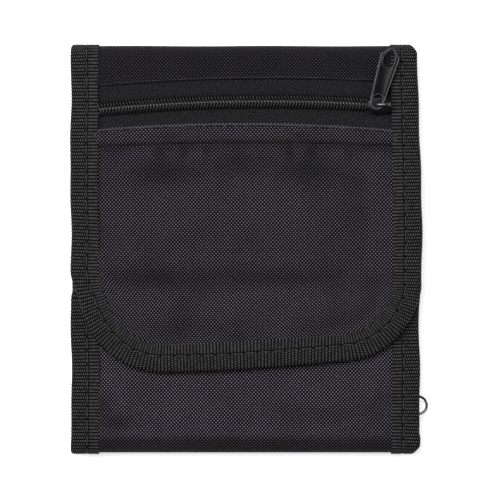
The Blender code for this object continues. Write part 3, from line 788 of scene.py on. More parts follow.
def folded_section(depth):
    """The folded tape's section: (in from the edge, depth, share of the ribs, v) round it."""
    leg = [0.0, 0.12, 0.5, 1.6, 2.9, 3.9, 4.2, 4.45, 4.6, 4.85, 6.5, 8.3, 9.6]
    outer = [(TAPE_WIDTH - a, 0.0, 0.0 if a < 0.3 else 1.0) for a in leg]
    for k, (w, _, rib) in enumerate(outer):
        near = math.exp(-(((w - SEAM_INSET) / 0.32) ** 2))
        round_off = 0.14 if k == 0 else 0.0
        outer[k] = (w, 0.24 * near + round_off, rib * (1 - 0.5 * near))
    nose = outer[-1][0]
    bulge = [math.radians(a) for a in (22, 45, 68, 90, 112, 135, 158)]
    turn = [(nose - nose * math.sin(a), depth / 2 * (1 - math.cos(a)), 1.0) for a in bulge]
    lower = [(w, depth - d, rib) for w, d, rib in reversed(outer)]
    skin = outer + turn + lower
    v, section, previous = TAPE_WIDTH, [], None
    for w, d, rib in skin:
        if previous:
            v -= math.hypot(w - previous[0], d - previous[1])
        section.append((w, d, rib, v))
        previous = (w, d)
    inside = [(TAPE_WIDTH, depth - TAPE_WALL), (nose, depth - TAPE_WALL), (0.75, depth / 2 + 0.3)]
    inside += [(0.75, depth / 2 - 0.3), (nose, TAPE_WALL), (TAPE_WIDTH, TAPE_WALL)]
    section += [(w, d, 0.0, v) for w, d in inside]
    return np.array(section), len(skin)


def tape(name, edge, depth, seed):
    """Folded tape along an edge in the flat, with its ribs, and its seam's threads on both faces."""
    points, into, t = respaced(*edge, TAPE_WIDTH / 2, RIB_PITCH / RIB_SAMPLES)
    section, _ = folded_section(depth)
    n, m = len(points), len(section)
    lean = 0.35 * np.sin(t / 23.0 + seed) + 0.2 * np.sin(t / 9.0 + 2 * seed)
    phase = (t[:, None] + lean[:, None] * (section[None, :, 0] / TAPE_WIDTH)) / RIB_PITCH
    crest = np.sqrt(np.clip(1 - (2 * (phase % 1.0) - 1) ** 2, 0, 1))
    sway = 0.10 * np.sin(t / 6.5 + seed) + 0.08 * np.sin(t / 2.7 + 3 * seed)
    near_edge = np.linspace(1, 0, m) * (section[:, 0] > 9)
    w = section[None, :, 0] + sway[:, None] * near_edge[None]
    middle = np.array([5.0, depth / 2])
    normal = left_of(np.gradient(section[:, :2], axis=0))
    normal *= np.sign(((middle - section[:, :2]) * normal).sum(1))[:, None]
    sink = RIB_HEIGHT * (1 - crest) * section[None, :, 2]
    w = w + sink * normal[None, :, 0]
    sunk_side = np.sign(depth / 2 - section[:, 1]) * (np.abs(normal[:, 1]) > 0.3)
    d = section[None, :, 1] + sink * sunk_side[None]
    x = points[:, None, 0] + into[:, None, 0] * w
    s = points[:, None, 1] + into[:, None, 1] * w
    uv = np.stack(np.broadcast_arrays(phase * RIB_PITCH, section[None, :, 3]), 2)
    parts = [Part(wrap(x, s, d), capped_faces(n, m), uv)]
    sewn = points + into * SEAM_INSET
    outward = outward_at(sewn[:, 1])
    for level, up in ((0.12, outward), (depth - 0.12, -outward)):
        parts.append(stitches(wrap(sewn[:, 0], sewn[:, 1], level), up, shift=0.4 + seed % 1))
    return build(name, parts, [TAPE, SEAM_THREAD])


def panel(
    name, s, left, right, depth, thickness, material, relief=None, columns=96,
    threads=(), thread=BLACK_THREAD, stitch=(3.5, 0.6), extra=(),
):
    """A sheet of cloth in rows along s, from left to right at each. relief(x, s) is how far it stands up."""
    s = np.asarray(s, float)
    share = np.linspace(0, 1, columns)
    x = left[:, None] + (right - left)[:, None] * share[None]
    grid_s = np.broadcast_to(s[:, None], x.shape) if s.ndim == 1 else s
    lift = relief(x, grid_s) if relief else np.zeros_like(x)
    outer = wrap(x, grid_s, depth - lift)
    inner = wrap(x, grid_s, depth - lift + thickness)
    uv = np.stack([x, grid_s], 2).reshape(-1, 2)
    parts = [slab(outer, inner, uv, len(s), columns), *extra]
    for x_line, s_line, shift in threads:
        lift = relief(x_line, s_line) if relief else 0.0
        lie = wrap(x_line, s_line, depth - lift)
        parts.append(stitches(lie, outward_at(s_line), *stitch, 0.17, shift=shift))
    return build(name, parts, [material, thread])


def rounded_sides(s, s_end, toward, left_corner, right_corner):
    """How far left and right a panel reaches at each s, with its free end's corners rounded."""
    reach = []
    for corner, side in ((left_corner, -1), (right_corner, 1)):
        radius = corner - EDGE_INSET
        past = np.clip(toward * (s - (s_end - toward * corner)), 0, radius)
        reach.append(side * (HALF_WIDTH - corner + np.sqrt(radius**2 - past**2)))
    return reach[0], reach[1]


def rows(*stops):
    """Row positions through stops, each (s, step up to the next one)."""
    made = []
    for (s, step), (following, _) in zip(stops[:-1], stops[1:]):
        n = max(1, round(abs(following - s) / step))
        made += [s + (following - s) * k / n for k in range(n)]
    return np.array(made + [stops[-1][0]])


# --- Cloth ----------------------------------------------------------------------------------------

SETTLING_FRAMES = 26
SETTLING_SCALE = 10.0
CLOTH_SETTINGS = {
    "quality": 7, "mass": 0.25, "tension_stiffness": 25, "compression_stiffness": 25, "shear_stiffness": 12,
    "bending_stiffness": 3.0, "air_damping": 2.0, "use_pressure": True, "pin_stiffness": 40,
}


def settled_cloth(x_range, y_range, step, shape, slack, lift):
    """The simulated relief, in mm, of a sheet that is sewn down round its border and a little too large."""
    nx = round((x_range[1] - x_range[0]) / step) + 1
    ny = round((y_range[1] - y_range[0]) / step) + 1
    xs, ys = np.linspace(*x_range, nx), np.linspace(*y_range, ny)
    grid_x, grid_y = np.meshgrid(xs, ys)
    start, pinned = shape(grid_x, grid_y)
    points = np.stack([grid_x, grid_y, start], 2).reshape(-1, 3) * MM * SETTLING_SCALE
    mesh = bpy.data.meshes.new("settling")
    mesh.from_pydata(points.tolist(), [], [tuple(f) for f in grid_faces(ny, nx).tolist()])
    obj = bpy.data.objects.new("settling", mesh)
    bpy.context.scene.collection.objects.link(obj)
    group = obj.vertex_groups.new(name="sewn")
    for i in np.flatnonzero(pinned.ravel() > 0):
        group.add([int(i)], float(pinned.ravel()[i]), "REPLACE")
    cloth = obj.modifiers.new("cloth", "CLOTH")
    settings = cloth.settings
    for setting, value in CLOTH_SETTINGS.items():
        setattr(settings, setting, value)
    settings.shrink_min = -slack
    settings.shrink_max = -slack
    settings.uniform_pressure_force = lift
    settings.vertex_group_mass = "sewn"
    settings.effector_weights.gravity = 0.15
    cloth.collision_settings.use_collision = False
    cloth.point_cache.frame_start = 1
    cloth.point_cache.frame_end = SETTLING_FRAMES
    scene = bpy.context.scene
    for number in range(1, SETTLING_FRAMES + 1):
        scene.frame_set(number)
    graph = bpy.context.evaluated_depsgraph_get()
    result = obj.evaluated_get(graph).to_mesh()
    co = np.empty(len(result.vertices) * 3)
    result.vertices.foreach_get("co", co)
    relief = co.reshape(ny, nx, 3)[:, :, 2] / MM / SETTLING_SCALE
    scene.frame_set(1)
    bpy.data.objects.remove(obj)
    bpy.data.meshes.remove(mesh)
    return xs, ys, relief


def bilinear(xs, ys, values, x, y):
    """values at (x, y), and the nearest border value outside the grid."""
    fx = np.clip((x - xs[0]) / (xs[1] - xs[0]), 0, len(xs) - 1.001)
    fy = np.clip((y - ys[0]) / (ys[1] - ys[0]), 0, len(ys) - 1.001)
    i, j = fx.astype(int), fy.astype(int)
    tx, ty = smooth(fx - i), smooth(fy - j)
    low = values[j, i] * (1 - tx) + values[j, i + 1] * tx
    high = values[j + 1, i] * (1 - tx) + values[j + 1, i + 1] * tx
    return low * (1 - ty) + high * ty


def hollow(x, y, at, size, angle=0.0):
    """A soft round or long dent, 1 at its middle."""
    c, s = math.cos(angle), math.sin(angle)
    across = ((x - at[0]) * c + (y - at[1]) * s) / size[0]
    along = ((y - at[1]) * c - (x - at[0]) * s) / size[1]
    return np.exp(-(across**2 + along**2))


def pocket_top(x):
    """The folded upper edge of the zip pocket's front."""
    return POCKET_TOP - x**2 / POCKET_FLATNESS - 0.002 * x


def strip_edge(x):
    """The lower edge of the strip above the zip."""
    return STRIP_PEAK[1] - (x - STRIP_PEAK[0]) ** 2 / STRIP_FLATNESS


def topstitch_y(x):
    """The row of stitches under the pocket's folded edge."""
    return TOPSTITCH_PEAK[1] - (x - TOPSTITCH_PEAK[0]) ** 2 / TOPSTITCH_FLATNESS


def inside_tape(x, y, end_y, left_corner, right_corner):
    """How far (x, y) is past the inner edge of the tape that runs round a free end at end_y."""
    corner = np.where(x < 0, left_corner, right_corner)
    side, end = HALF_WIDTH - np.abs(x), y - end_y
    rounded = corner - np.hypot(corner - side, corner - end)
    return np.where((side < corner) & (end < corner), rounded, np.minimum(side, end)) - TAPE_WIDTH


def pocket_room(x, y):
    return inside_tape(x, y, FLAP_END, FLAP_LEFT_CORNER, FLAP_RIGHT_CORNER)


POCKET_DENTS = [
    (0.42, (-33, 31), (15, 4.5), 0.35), (0.40, (24, 30), (13, 4.5), -0.1), (0.30, (-2, 35), (7, 5), 0.9),
    (0.50, (-38, -10), (18, 3.6), 0.06), (0.38, (8, -11), (26, 3.4), 0.02), (0.30, (-22, -28), (10, 6), 0.6),
    (0.22, (42, 8), (6, 14), 0.2),
]
FRONT_DENTS = [
    (0.55, (-49, -60), (9, 3.2), -0.75), (0.35, (-44, -67), (12, 3), -0.2), (0.28, (30, -62), (20, 4), 0.15),
    (0.2, (0, -55), (30, 3), 0.05),
]


def pocket_shape(x, y):
    """The zip pocket's front before it settles, and where it is sewn down."""
    tight = np.clip(pocket_room(x, y) / 9, 0, 1)
    below = topstitch_y(x) - y
    pucker = 0.16 * np.sin(x / 2.9 + 0.8 * np.sin(x / 11)) * np.exp(-np.clip(below, 0, 99) / 7)
    pucker = pucker * smooth((below + 0.4) / 1.4)
    dents = sum(deep * hollow(x, y, at, size, angle) for deep, at, size, angle in POCKET_DENTS)
    swell = 0.55 * smooth((-13 - y) / 9) * smooth((y + 44) / 9)
    swell = swell + 0.45 * smooth((y + 6) / 16) * smooth((38 - y) / 12)
    shape = (swell - dents) * smooth(tight) + pucker * smooth(tight * 3)
    seam = np.abs(below) < 0.9
    border = (pocket_room(x, y) < -1.5) | (y > 46.4)
    pinned = np.where(seam | border, 1.0, 0.0)
    shape = np.where(below < 0, shape * 0.3 + 0.12 * smooth(-below / 2), shape)
    return shape, pinned


def front_shape(x, y):
    """The front panel's outer face before it settles, and where it is sewn down."""
    tight = smooth((HALF_WIDTH - TAPE_WIDTH - np.abs(x)) / 8)
    dents = sum(deep * hollow(x, y, at, size, angle) for deep, at, size, angle in FRONT_DENTS)
    swell = 0.42 * smooth((y + 76) / 10)
    pinned = np.where((np.abs(x) > 58.5) | (y > -9) | (y < -77), 1.0, 0.0)
    return (swell - dents) * tight, pinned


POCKET_CLOTH = settled_cloth((-60.0, 60.0), (-43.5, 48.0), 1.5, pocket_shape, 0.006, 1.5)
FRONT_CLOTH = settled_cloth((-60.0, 60.0), (-78.0, -8.0), 2.0, front_shape, 0.005, 1.5)


def pocket_relief(x, s):
    y = y_on_flap(s)
    hem = 0.25 * smooth(y - topstitch_y(x) - 0.6) - 0.55 * smooth((y - pocket_top(x) + 0.9) / 0.9) ** 2
    seam = -0.16 * np.exp(-(((y - topstitch_y(x)) / 0.5) ** 2))
    full = bilinear(*POCKET_CLOTH, x, y)
    return np.clip(full, -0.5, 0.3 + 0.11 * np.clip(pocket_room(x, y), 0, 8)) + hem + seam


def front_relief(x, s):
    y = FRONT_END - s
    room = np.clip(HALF_WIDTH - TAPE_WIDTH - np.abs(x), 0, 6)
    return np.clip(bilinear(*FRONT_CLOTH, x, y), -0.5, 0.3 + 0.06 * room) * smooth((y + 78) / 6)


# --- Outer panels and their tape ------------------------------------------------------------------

BACK_ROWS = {
    "upper": rows((s_on_back(0), 2.5), (s_on_back(66), 1.2), (s_on_back(72), 0.5), (S_TOP, 0.5)),
    "lower": rows((S_BOTTOM, 0.5), (s_on_back(-73), 1.2), (s_on_back(-66), 2.5), (s_on_back(0), 2.5)),
}
BACK_ENDS = {"upper": S_TOP, "lower": S_BOTTOM}
SIDE = HALF_WIDTH - EDGE_INSET
STEP_AT = HALF_WIDTH - TAPE_WIDTH - 0.3


def straight(s):
    return np.full(len(s), -SIDE), np.full(len(s), SIDE)


def back_relief(x, s):
    """The back's shell comes out level with the tape between its two lengths, and is a little uneven."""
    level = 0.52 * smooth((STEP_AT - np.abs(x)) / 1.8) * smooth((74 - np.abs(s - S_BACK)) / 5)
    soft = 0.10 * np.sin(x / 17.0 + 1.3) * np.sin((s - S_BACK) / 21.0 + 0.4) - 0.06
    return level * (1 + soft)


def back_lining_relief(x, s):
    return -0.55 * smooth((STEP_AT - np.abs(x)) / 1.8) + 0.06 * np.sin(x / 13.0) * np.sin((s - S_BACK) / 19.0)


def front_lining_relief(x, s):
    return 0.10 * np.sin(x / 14.0) + 0.06 * np.sin(x / 6.0 + s / 9.0)


def back_sheets(layer, depth, thickness, material, relief):
    """One layer of the back, in two lengths that meet half-way up."""
    return {
        word: panel(f"{layer}_{word}", s, *straight(s), depth, thickness, material, relief)
        for word, s in BACK_ROWS.items()
    }


back_shell = back_sheets("back_shell", SHELL_DEPTH, SHELL_THICKNESS, NYLON, back_relief)
back_lining = back_sheets("back_lining", BACK_LINING_DEPTH, LINING_THICKNESS, LINING, back_lining_relief)
binding, binding_edge = {}, {}
for side, word in ((-1, "left"), (1, "right")):
    for half, s_end in BACK_ENDS.items():
        edge = side_edge(side, s_on_back(0), s_end)
        binding_edge[word, half] = edge
        binding[word, half] = tape(f"back_binding_{word}_{half}", edge, BACK_DEPTH, 0.3)

# Flap: the strip above the zip, the zip pocket's front, the lining and the tape round them.
strip_rows = rows(
    (S_TOP, 0.5), (s_on_flap(73), 0.9), (s_on_flap(67.5), 0.35), (s_on_flap(STRIP_PEAK[1]), 0.35)
)


def strip_relief(x, s):
    y = y_on_flap(s)
    edge = y - strip_edge(x)
    roll = 0.30 * smooth(1 - edge / 3.0) - 0.62 * smooth(1 - edge / 0.8) ** 2
    wave = 0.12 * np.sin(x / 8.5 + 0.5) * smooth((y - 66) / 6) * smooth((np.abs(S_TOP_BEND - s) + 2) / 4)
    return roll + wave + 0.16 * hollow(x, y, (-20, 71), (22, 3))


fade = smooth((76.0 - y_on_flap(strip_rows)) / 9.0)
fade = np.where(strip_rows > S_TOP_BEND, fade, 0.0)
strip_x = np.linspace(-SIDE, SIDE, 96)
strip_grid = strip_rows[:, None] + (STRIP_PEAK[1] - strip_edge(strip_x))[None] * fade[:, None]
edge_x = np.linspace(-STEP_AT, STEP_AT, 300)
edge_threads = [(edge_x, s_on_flap(strip_edge(edge_x) + 0.75), 0.5)]
# Its cloth is the darker copy of the nylon, with painted shade.
top_strip = panel(
    "flap_top_strip", strip_grid, *straight(strip_rows), SHELL_DEPTH, SHELL_THICKNESS, STRIP_NYLON_SHADED,
    strip_relief, threads=edge_threads, thread=SEAM_THREAD, stitch=(0.9, 0.35),
)

pocket_rows = rows(
    (s_on_flap(POCKET_ROWS_TOP), 0.3), (s_on_flap(46.5), 0.6), (s_on_flap(38), 1.0), (s_on_flap(-36), 1.0),
    (s_on_flap(FLAP_LOWEST), 0.5),
)
pocket_left, pocket_right = rounded_sides(pocket_rows, S_END, 1, FLAP_LEFT_CORNER, FLAP_RIGHT_CORNER)
share = np.linspace(0, 1, POCKET_COLUMNS)
pocket_x = pocket_left[:, None] + (pocket_right - pocket_left)[:, None] * share[None]
drop = smooth((y_on_flap(pocket_rows) - 18) / 26)
pocket_grid = pocket_rows[:, None] + (POCKET_ROWS_TOP - pocket_top(pocket_x)) * drop[:, None]
seam_x = np.linspace(-STEP_AT, STEP_AT, 400)
pocket_threads = [
    (seam_x, s_on_flap(topstitch_y(seam_x)), 0.5), (seam_x, s_on_flap(pocket_top(seam_x) - 1.15), 0.2)
]
pocket_front = panel(
    "flap_pocket_front", pocket_grid, pocket_left, pocket_right, SHELL_DEPTH, SHELL_THICKNESS, FLAP_NYLON,
    pocket_relief, columns=POCKET_COLUMNS, threads=pocket_threads,
)

flap_rows = rows((S_TOP, 0.5), (s_on_flap(72), 2.5), (s_on_flap(-16), 1.0), (s_on_flap(FLAP_LOWEST), 1.0))
sides = rounded_sides(flap_rows, S_END, 1, FLAP_LEFT_CORNER, FLAP_RIGHT_CORNER)


def flap_lining_relief(x, s):
    """The lining lies close under the shell round the fold and deeper under the zip."""
    return 1.3 * smooth((S_FLAP + 4 - s) / 9) + 0.07 * np.sin(x / 12.0) * np.sin(s / 17.0)


flap_lining = panel(
    "flap_lining", flap_rows, *sides, FLAP_LINING_DEPTH, LINING_THICKNESS, LINING, flap_lining_relief
)
flap_edge = free_edge(S_TOP, S_END, FLAP_LEFT_CORNER, FLAP_RIGHT_CORNER)
flap_binding = tape("flap_binding", flap_edge, FLAP_DEPTH, 1.1)

# Front panel.
front_rows = rows(
    (S_BOTTOM, 0.5), (s_on_front(-73), 1.0), (s_on_front(-50), 2.0), (s_on_front(-20), 0.8), (EDGE_INSET, 0.8)
)
sides = rounded_sides(front_rows, 0.0, -1, FRONT_CORNER, FRONT_CORNER)
front_shell = panel(
    "front_shell", front_rows, *sides, SHELL_DEPTH, SHELL_THICKNESS, FRONT_NYLON, front_relief, columns=110
)
front_lining = panel(
    "front_lining", front_rows, *sides, FRONT_LINING_DEPTH, LINING_THICKNESS, LINING, front_lining_relief
)
front_edge = free_edge(S_BOTTOM, 0.0, FRONT_CORNER, FRONT_CORNER)
front_binding = tape("front_binding", front_edge, FRONT_DEPTH, 2.3)

# --- Zip ------------------------------------------------------------------------------------------


def chain_y(x):
    """The middle of the zip's chain, which bows up a little."""
    return CHAIN_PEAK[1] - (x - CHAIN_PEAK[0]) ** 2 / CHAIN_FLATNESS


def beside_chain(x, offset, z):
    """Points on a line that keeps its distance from the middle of the chain."""
    return settle(np.stack(np.broadcast_arrays(x, chain_y(x) + offset, z), 1))


def zip_tape(side, word):
    """The tape on one side of the chain: side is +1 above it."""
    x = np.linspace(-ZIP_TAPE_HALF_LENGTH, ZIP_TAPE_HALF_LENGTH, 134)
    v = np.array([ZIP_TAPE_START, 0.5, 1.5, 2.6, 3.2, 5.0, 7.0, 9.0, ZIP_TAPE_END])
    grid_v, grid_x = np.meshgrid(v, x, indexing="ij")
    z = ZIP_TAPE_TOP + 0.05 * np.sin(grid_x / 5.0) * (grid_v / ZIP_TAPE_END) + 0.18 * smooth((grid_v - 3) / 3)
    outer = beside_chain(grid_x.ravel(), side * grid_v.ravel(), z.ravel())
    uv = np.stack([grid_x, grid_v * side], 2).reshape(-1, 2)
    parts = [slab(outer, outer - np.array([0, 0, ZIP_TAPE_THICKNESS]), uv, len(v), len(x))]
    sewn_x = np.linspace(-CHAIN_HALF_LENGTH, CHAIN_HALF_LENGTH, 260)
    up = np.tile([0.0, 0.0, 1.0], (len(sewn_x), 1))
    for offset in (2.85, 3.5):
        lie = beside_chain(sewn_x, side * offset, ZIP_TAPE_TOP)
        parts.append(stitches(lie, up, 1.9, 0.5, 0.14, shift=offset % 1))
    return build(f"zip_tape_{word}", parts, [ZIP_CLOTH, BLACK_THREAD])


def zip_coil(side, word):
    """The coil on one side of the chain: a leaning helix round a cord, with a painted highlight on its upper
    tips.
    """
    turns = int(2 * CHAIN_HALF_LENGTH / COIL_PITCH)
    samples = 14
    angle = np.arange(turns * samples + 1) * 2 * math.pi / samples
    x = -CHAIN_HALF_LENGTH + COIL_PITCH * angle / (2 * math.pi) + (COIL_PITCH / 2 if side < 0 else 0)
    middle, half = (COIL_REACH + COIL_HEAD_AT) / 2, (COIL_REACH - COIL_HEAD_AT) / 2
    offset = middle - half * np.cos(angle)
    z = COIL_Z - 0.60 * np.sin(angle) * (1 - 0.15 * np.cos(angle))
    x = x - COIL_LEAN * np.clip(offset, 0, None) * (np.sin(angle) < 0.1)
    radius = COIL_WIRE * (1 + 0.16 * np.clip(np.cos(angle), 0, 1) ** 2)
    parts = [tube(beside_chain(x, side * offset, z), radius, 7)]
    # Painted highlight: short light tubes on the upper tips.
    for turn in range(1, turns) if side > 0 else ():
        tip = slice(turn * samples - 2, turn * samples)
        parts.append(tube(beside_chain(x[tip], side * offset[tip], z[tip] + 0.10), COIL_WIRE, 6, slot=2))
    core_x = np.linspace(-CHAIN_HALF_LENGTH, CHAIN_HALF_LENGTH, 260)
    # The cord, in near-black painted shade, shows in the gaps between turns.
    parts.append(tube(beside_chain(core_x, side * 1.25, COIL_Z), 0.36, 8, slot=1))
    return build(f"zip_coil_{word}", parts, [COIL_NYLON, CORE_THREAD, COIL_HEAD_HIGHLIGHT])


zip_tape_upper, zip_coil_upper = zip_tape(1, "upper"), zip_coil(1, "upper")
zip_tape_lower, zip_coil_lower = zip_tape(-1, "lower"), zip_coil(-1, "lower")


def plate(outline, levels):
    """A solid of an outline at several heights, each (z, how much narrower in mm)."""
    inward = left_of(np.roll(outline, -1, 0) - np.roll(outline, 1, 0))
    n = len(outline)
    rings = [np.column_stack([outline + inward * narrower, np.full(n, z)]) for z, narrower in levels]
    return Part(np.concatenate(rings), capped_faces(len(levels), n), np.concatenate([outline] * len(levels)))


def power(value, exponent):
    return np.sign(value) * np.abs(value) ** exponent


def slider_outline():
    """An oval, broader at its front, drawn out towards a rectangle."""
    a = np.arange(56) * 2 * math.pi / 56
    u = 4.9 * power(np.cos(a), 0.8)
    v = (3.3 + 0.35 * np.cos(a)) * power(np.sin(a), 0.72)
    return np.stack([SLIDER[0] + u, SLIDER[1] + v], 1)


def solid_box(low, high):
    flat = [(low[0], low[1]), (high[0], low[1]), (high[0], high[1]), (low[0], high[1])]
    corners = [(x, y, z) for z in (low[2], high[2]) for x, y in flat]
    faces = [(3, 2, 1, 0), (4, 5, 6, 7), (0, 1, 5, 4), (1, 2, 6, 5), (2, 3, 7, 6), (3, 0, 4, 7)]
    return Part(corners, faces, np.array(corners)[:, :2])


def slider():
    """Two plates joined by a neck at the front, the upper one with a low wall down each side."""
    parts = [plate(slider_outline(), UPPER_PLATE), plate(slider_outline(), LOWER_PLATE)]
    neck_low = (SLIDER[0] + 2.1, SLIDER[1] - 0.25, 12.2)
    parts.append(solid_box(neck_low, (SLIDER[0] + 4.1, SLIDER[1] + 0.25, 15.3)))
    for side in (-1, 1):
        u = np.linspace(-4.3, 2.9, 12)
        v = side * (3.02 + 0.30 * smooth((u + 4) / 6))
        outer = np.stack([SLIDER[0] + u, SLIDER[1] + v], 1)
        inner = outer - np.array([0, side * 0.5])
        levels = len(WALL_HEIGHTS)
        z = np.repeat(WALL_HEIGHTS, len(u))
        outer, inner = (np.column_stack([np.tile(wall, (levels, 1)), z]) for wall in (outer, inner))
        parts.append(slab(outer, inner, outer[:, :2], levels, len(u)))
    return sharpen(build("slider_body", parts, [ENAMEL]), 50)


def crown():
    """The bridge over the slider that carries its pull."""
    rear, front = SLIDER[0] + CROWN_REAR, SLIDER[0] + CROWN_FRONT
    turn = (0.4, 0.8, 1.2, 1.57)
    rise = CROWN_TOP - CROWN_SHOULDER
    path = [(rear, CROWN_BASE), (rear, 16.6), (rear, CROWN_SHOULDER)]
    path += [(rear + 1.1 * (1 - math.cos(a)), CROWN_SHOULDER + rise * math.sin(a)) for a in turn]
    for t in (0.25, 0.5, 0.75):
        path.append((rear + 1.1 + (front - rear - 2.2) * t, CROWN_TOP + 0.12 * math.sin(math.pi * t)))
    path += [(front - 1.1 * (1 - math.sin(a)), CROWN_TOP - rise * (1 - math.cos(a))) for a in (0.0, *turn)]
    path += [(front, 16.6), (front, CROWN_BASE)]
    points = np.array([(x, SLIDER[1], z) for x, z in path])
    width = np.interp(np.arange(len(path)), [0, 6, 12, len(path) - 1], [0.50, 0.55, 0.85, 0.68])
    return build("slider_crown", [tube(points, width, 14, flat=(0.52, 1.0), up=(0, 1, 0))], [CROWN_ENAMEL])


def curve_part(outlines, low, high, bevel):
    """A flat plate with holes and rounded edges, cut to outlines in mm."""
    curve = bpy.data.curves.new("cut", "CURVE")
    curve.dimensions = "2D"
    curve.fill_mode = "BOTH"
    curve.extrude = (high - low) / 2 * MM - bevel * MM
    curve.bevel_depth = bevel * MM
    curve.bevel_resolution = 3
    for outline in outlines:
        spline = curve.splines.new("POLY")
        spline.points.add(len(outline) - 1)
        for point, (x, y) in zip(spline.points, outline):
            point.co = (x * MM, y * MM, 0, 1)
        spline.use_cyclic_u = True
    obj = bpy.data.objects.new("cut", curve)
    bpy.context.scene.collection.objects.link(obj)
    mesh = bpy.data.meshes.new_from_object(obj.evaluated_get(bpy.context.evaluated_depsgraph_get()))
    bm = bmesh.new()
    bm.from_mesh(mesh)
    bmesh.ops.remove_doubles(bm, verts=bm.verts, dist=1e-7)
    bm.verts.index_update()
    points = np.array([v.co for v in bm.verts]) / MM + np.array([0, 0, (low + high) / 2])
    faces = [tuple(v.index for v in f.verts) for f in bm.faces]
    bm.free()
    bpy.data.objects.remove(obj)
    bpy.data.curves.remove(curve)
    bpy.data.meshes.remove(mesh)
    return Part(points, faces, points[:, :2])


def arc(centre, radius, first, last, n):
    angles = np.radians(np.linspace(first, last, n))
    return [(centre[0] + radius * math.cos(a), centre[1] + radius * math.sin(a)) for a in angles]


def rim_highlight_bead(outline, inset, radius):
    """A smoothed bead round an outline, lighter than the enamel, that paints the highlight along the pull's
    edge.
    """
    closed = np.concatenate([outline, outline[:1]])
    t = distances(closed)
    even = along_line(np.linspace(0, t[-1], int(t[-1] / 0.35), endpoint=False), t, closed)
    for _ in range(2):
        even = (np.roll(even, 1, 0) + 2 * even + np.roll(even, -1, 0)) / 4
    inward = left_of(np.roll(even, -1, 0) - np.roll(even, 1, 0))
    area = (even[:, 0] * np.roll(even[:, 1], -1) - np.roll(even[:, 0], -1) * even[:, 1]).sum()
    rim = even + inward * inset * math.copysign(1, area)
    points = np.column_stack([rim, np.full(len(rim), PULL_HIGH - 0.06)])
    return tube(points, radius, 8, closed=True, slot=1, up=(0, 0, 1))


def pull():
    """The pull: a long eye for the crown, and a rounded window at its free end."""
    half = 2.65
    body = arc((half - 1.9, 0), half, 90, 270, 24)
    body += [(19.2, -3.75)] + arc((18.9, -2.55), 1.35, -75, -20, 5) + arc((21.2, 0), 1.72, -48, 48, 12)
    body += arc((18.9, 2.55), 1.35, 20, 75, 5) + [(19.2, 3.75)]
    eye = arc((0.95, 0), 1.95, 90, 270, 16) + arc((2.25, 0), 1.95, -90, 90, 16)
    window = arc((17.2, 0), 2.35, 100, 260, 16) + [(19.0, -2.3)]
    window += arc((20.6, 0), 1.35, -50, 50, 7) + [(19.0, 2.3)]
    parts = [curve_part([body, eye, window], PULL_LOW, PULL_HIGH, 0.16)]
    for outline, inset, radius in ((body, 0.2, 0.22), (eye, -0.14, 0.15), (window, -0.12, 0.11)):
        parts.append(rim_highlight_bead(np.array(outline), inset, radius))
    c, s = math.cos(PULL_ANGLE), math.sin(PULL_ANGLE)
    for part in parts:
        u, v = part.points[:, 0].copy(), part.points[:, 1].copy()
        part.points[:, 0] = SLIDER[0] + CROWN_REAR + u * c - v * s
        part.points[:, 1] = SLIDER[1] + u * s + v * c
    return sharpen(build("pull_tab", parts, [ENAMEL, RIM_HIGHLIGHT_ENAMEL]), 50)


slider_body, slider_crown, pull_tab = slider(), crown(), pull()

# --- Ring -----------------------------------------------------------------------------------------


def ring():
    """A D of wire, with its straight side in the tab."""
    straight_half = RING_HALF - RING_BEND
    path = [(0, y) for y in np.linspace(-straight_half, straight_half, 9)]
    path += arc((RING_BEND, straight_half), RING_BEND, 170, 100, 5)
    path += arc((1.4, 0), RING_HALF, 90, -90, 40)
    path += arc((RING_BEND, -straight_half), RING_BEND, -100, -170, 5)
    points = np.array([(RING[0] + x, RING[1] + y, RING[2]) for x, y in path])
    return build("d_ring", [tube(points, RING_WIRE, 16, closed=True, up=(0, 0, 1))], [NICKEL])


def swept_sheet(name, path, y_range, thickness, materials, rows_across=24):
    """A sheet whose (x, z) section follows path, stretched along y."""
    path = np.asarray(path, float)
    normal = left_of(np.gradient(path, axis=0))
    y = np.linspace(*y_range, rows_across)

    def at(offset):
        lie = path + normal * offset
        return np.stack(np.broadcast_arrays(lie[:, None, 0], y[None], lie[:, None, 1]), 2).reshape(-1, 3)

    uv = np.stack(np.broadcast_arrays(distances(path)[:, None], (y - y_range[0])[None]), 2).reshape(-1, 2)
    return build(name, [slab(at(thickness / 2), at(-thickness / 2), uv, len(path), len(y))], materials)


tab_path = [(x, RING[2] + TAB_RADIUS) for x in np.linspace(58, 65.6, 22)]
tab_path += arc((RING[0], RING[2]), TAB_RADIUS, 90, -90, 12)
tab_path += [(x, RING[2] - TAB_RADIUS) for x in np.linspace(65.6, 58, 22)]
ring_tab = swept_sheet("ring_tab", tab_path, (RING[1] - 2.8, RING[1] + 2.8), 0.34, [TAPE])
d_ring = ring()

# --- Inside ---------------------------------------------------------------------------------------


def seam(x, y, z, length=2.6, radius=0.16, up=1.0):
    """Stitches along a line on a level sheet; x, y or z can be a single number."""
    x, y, z = np.broadcast_arrays(*(np.asarray(a, float) for a in (x, y, z)))
    return stitches(np.stack([x, y, z], 1), np.tile([0.0, 0.0, up], (len(x), 1)), length, 0.5, radius)


def sheet_between(x, y, outer, inner, slot=0, v_from=0.0):
    """A slab over a grid of x and y, between two heights that may vary over it."""
    grid_x, grid_y = np.meshgrid(x, y)
    faces = (np.stack(np.broadcast_arrays(grid_x, grid_y, z), 2).reshape(-1, 3) for z in (outer, inner))
    return slab(*faces, np.stack([grid_x, grid_y - v_from], 2).reshape(-1, 2), len(y), len(x), slot)


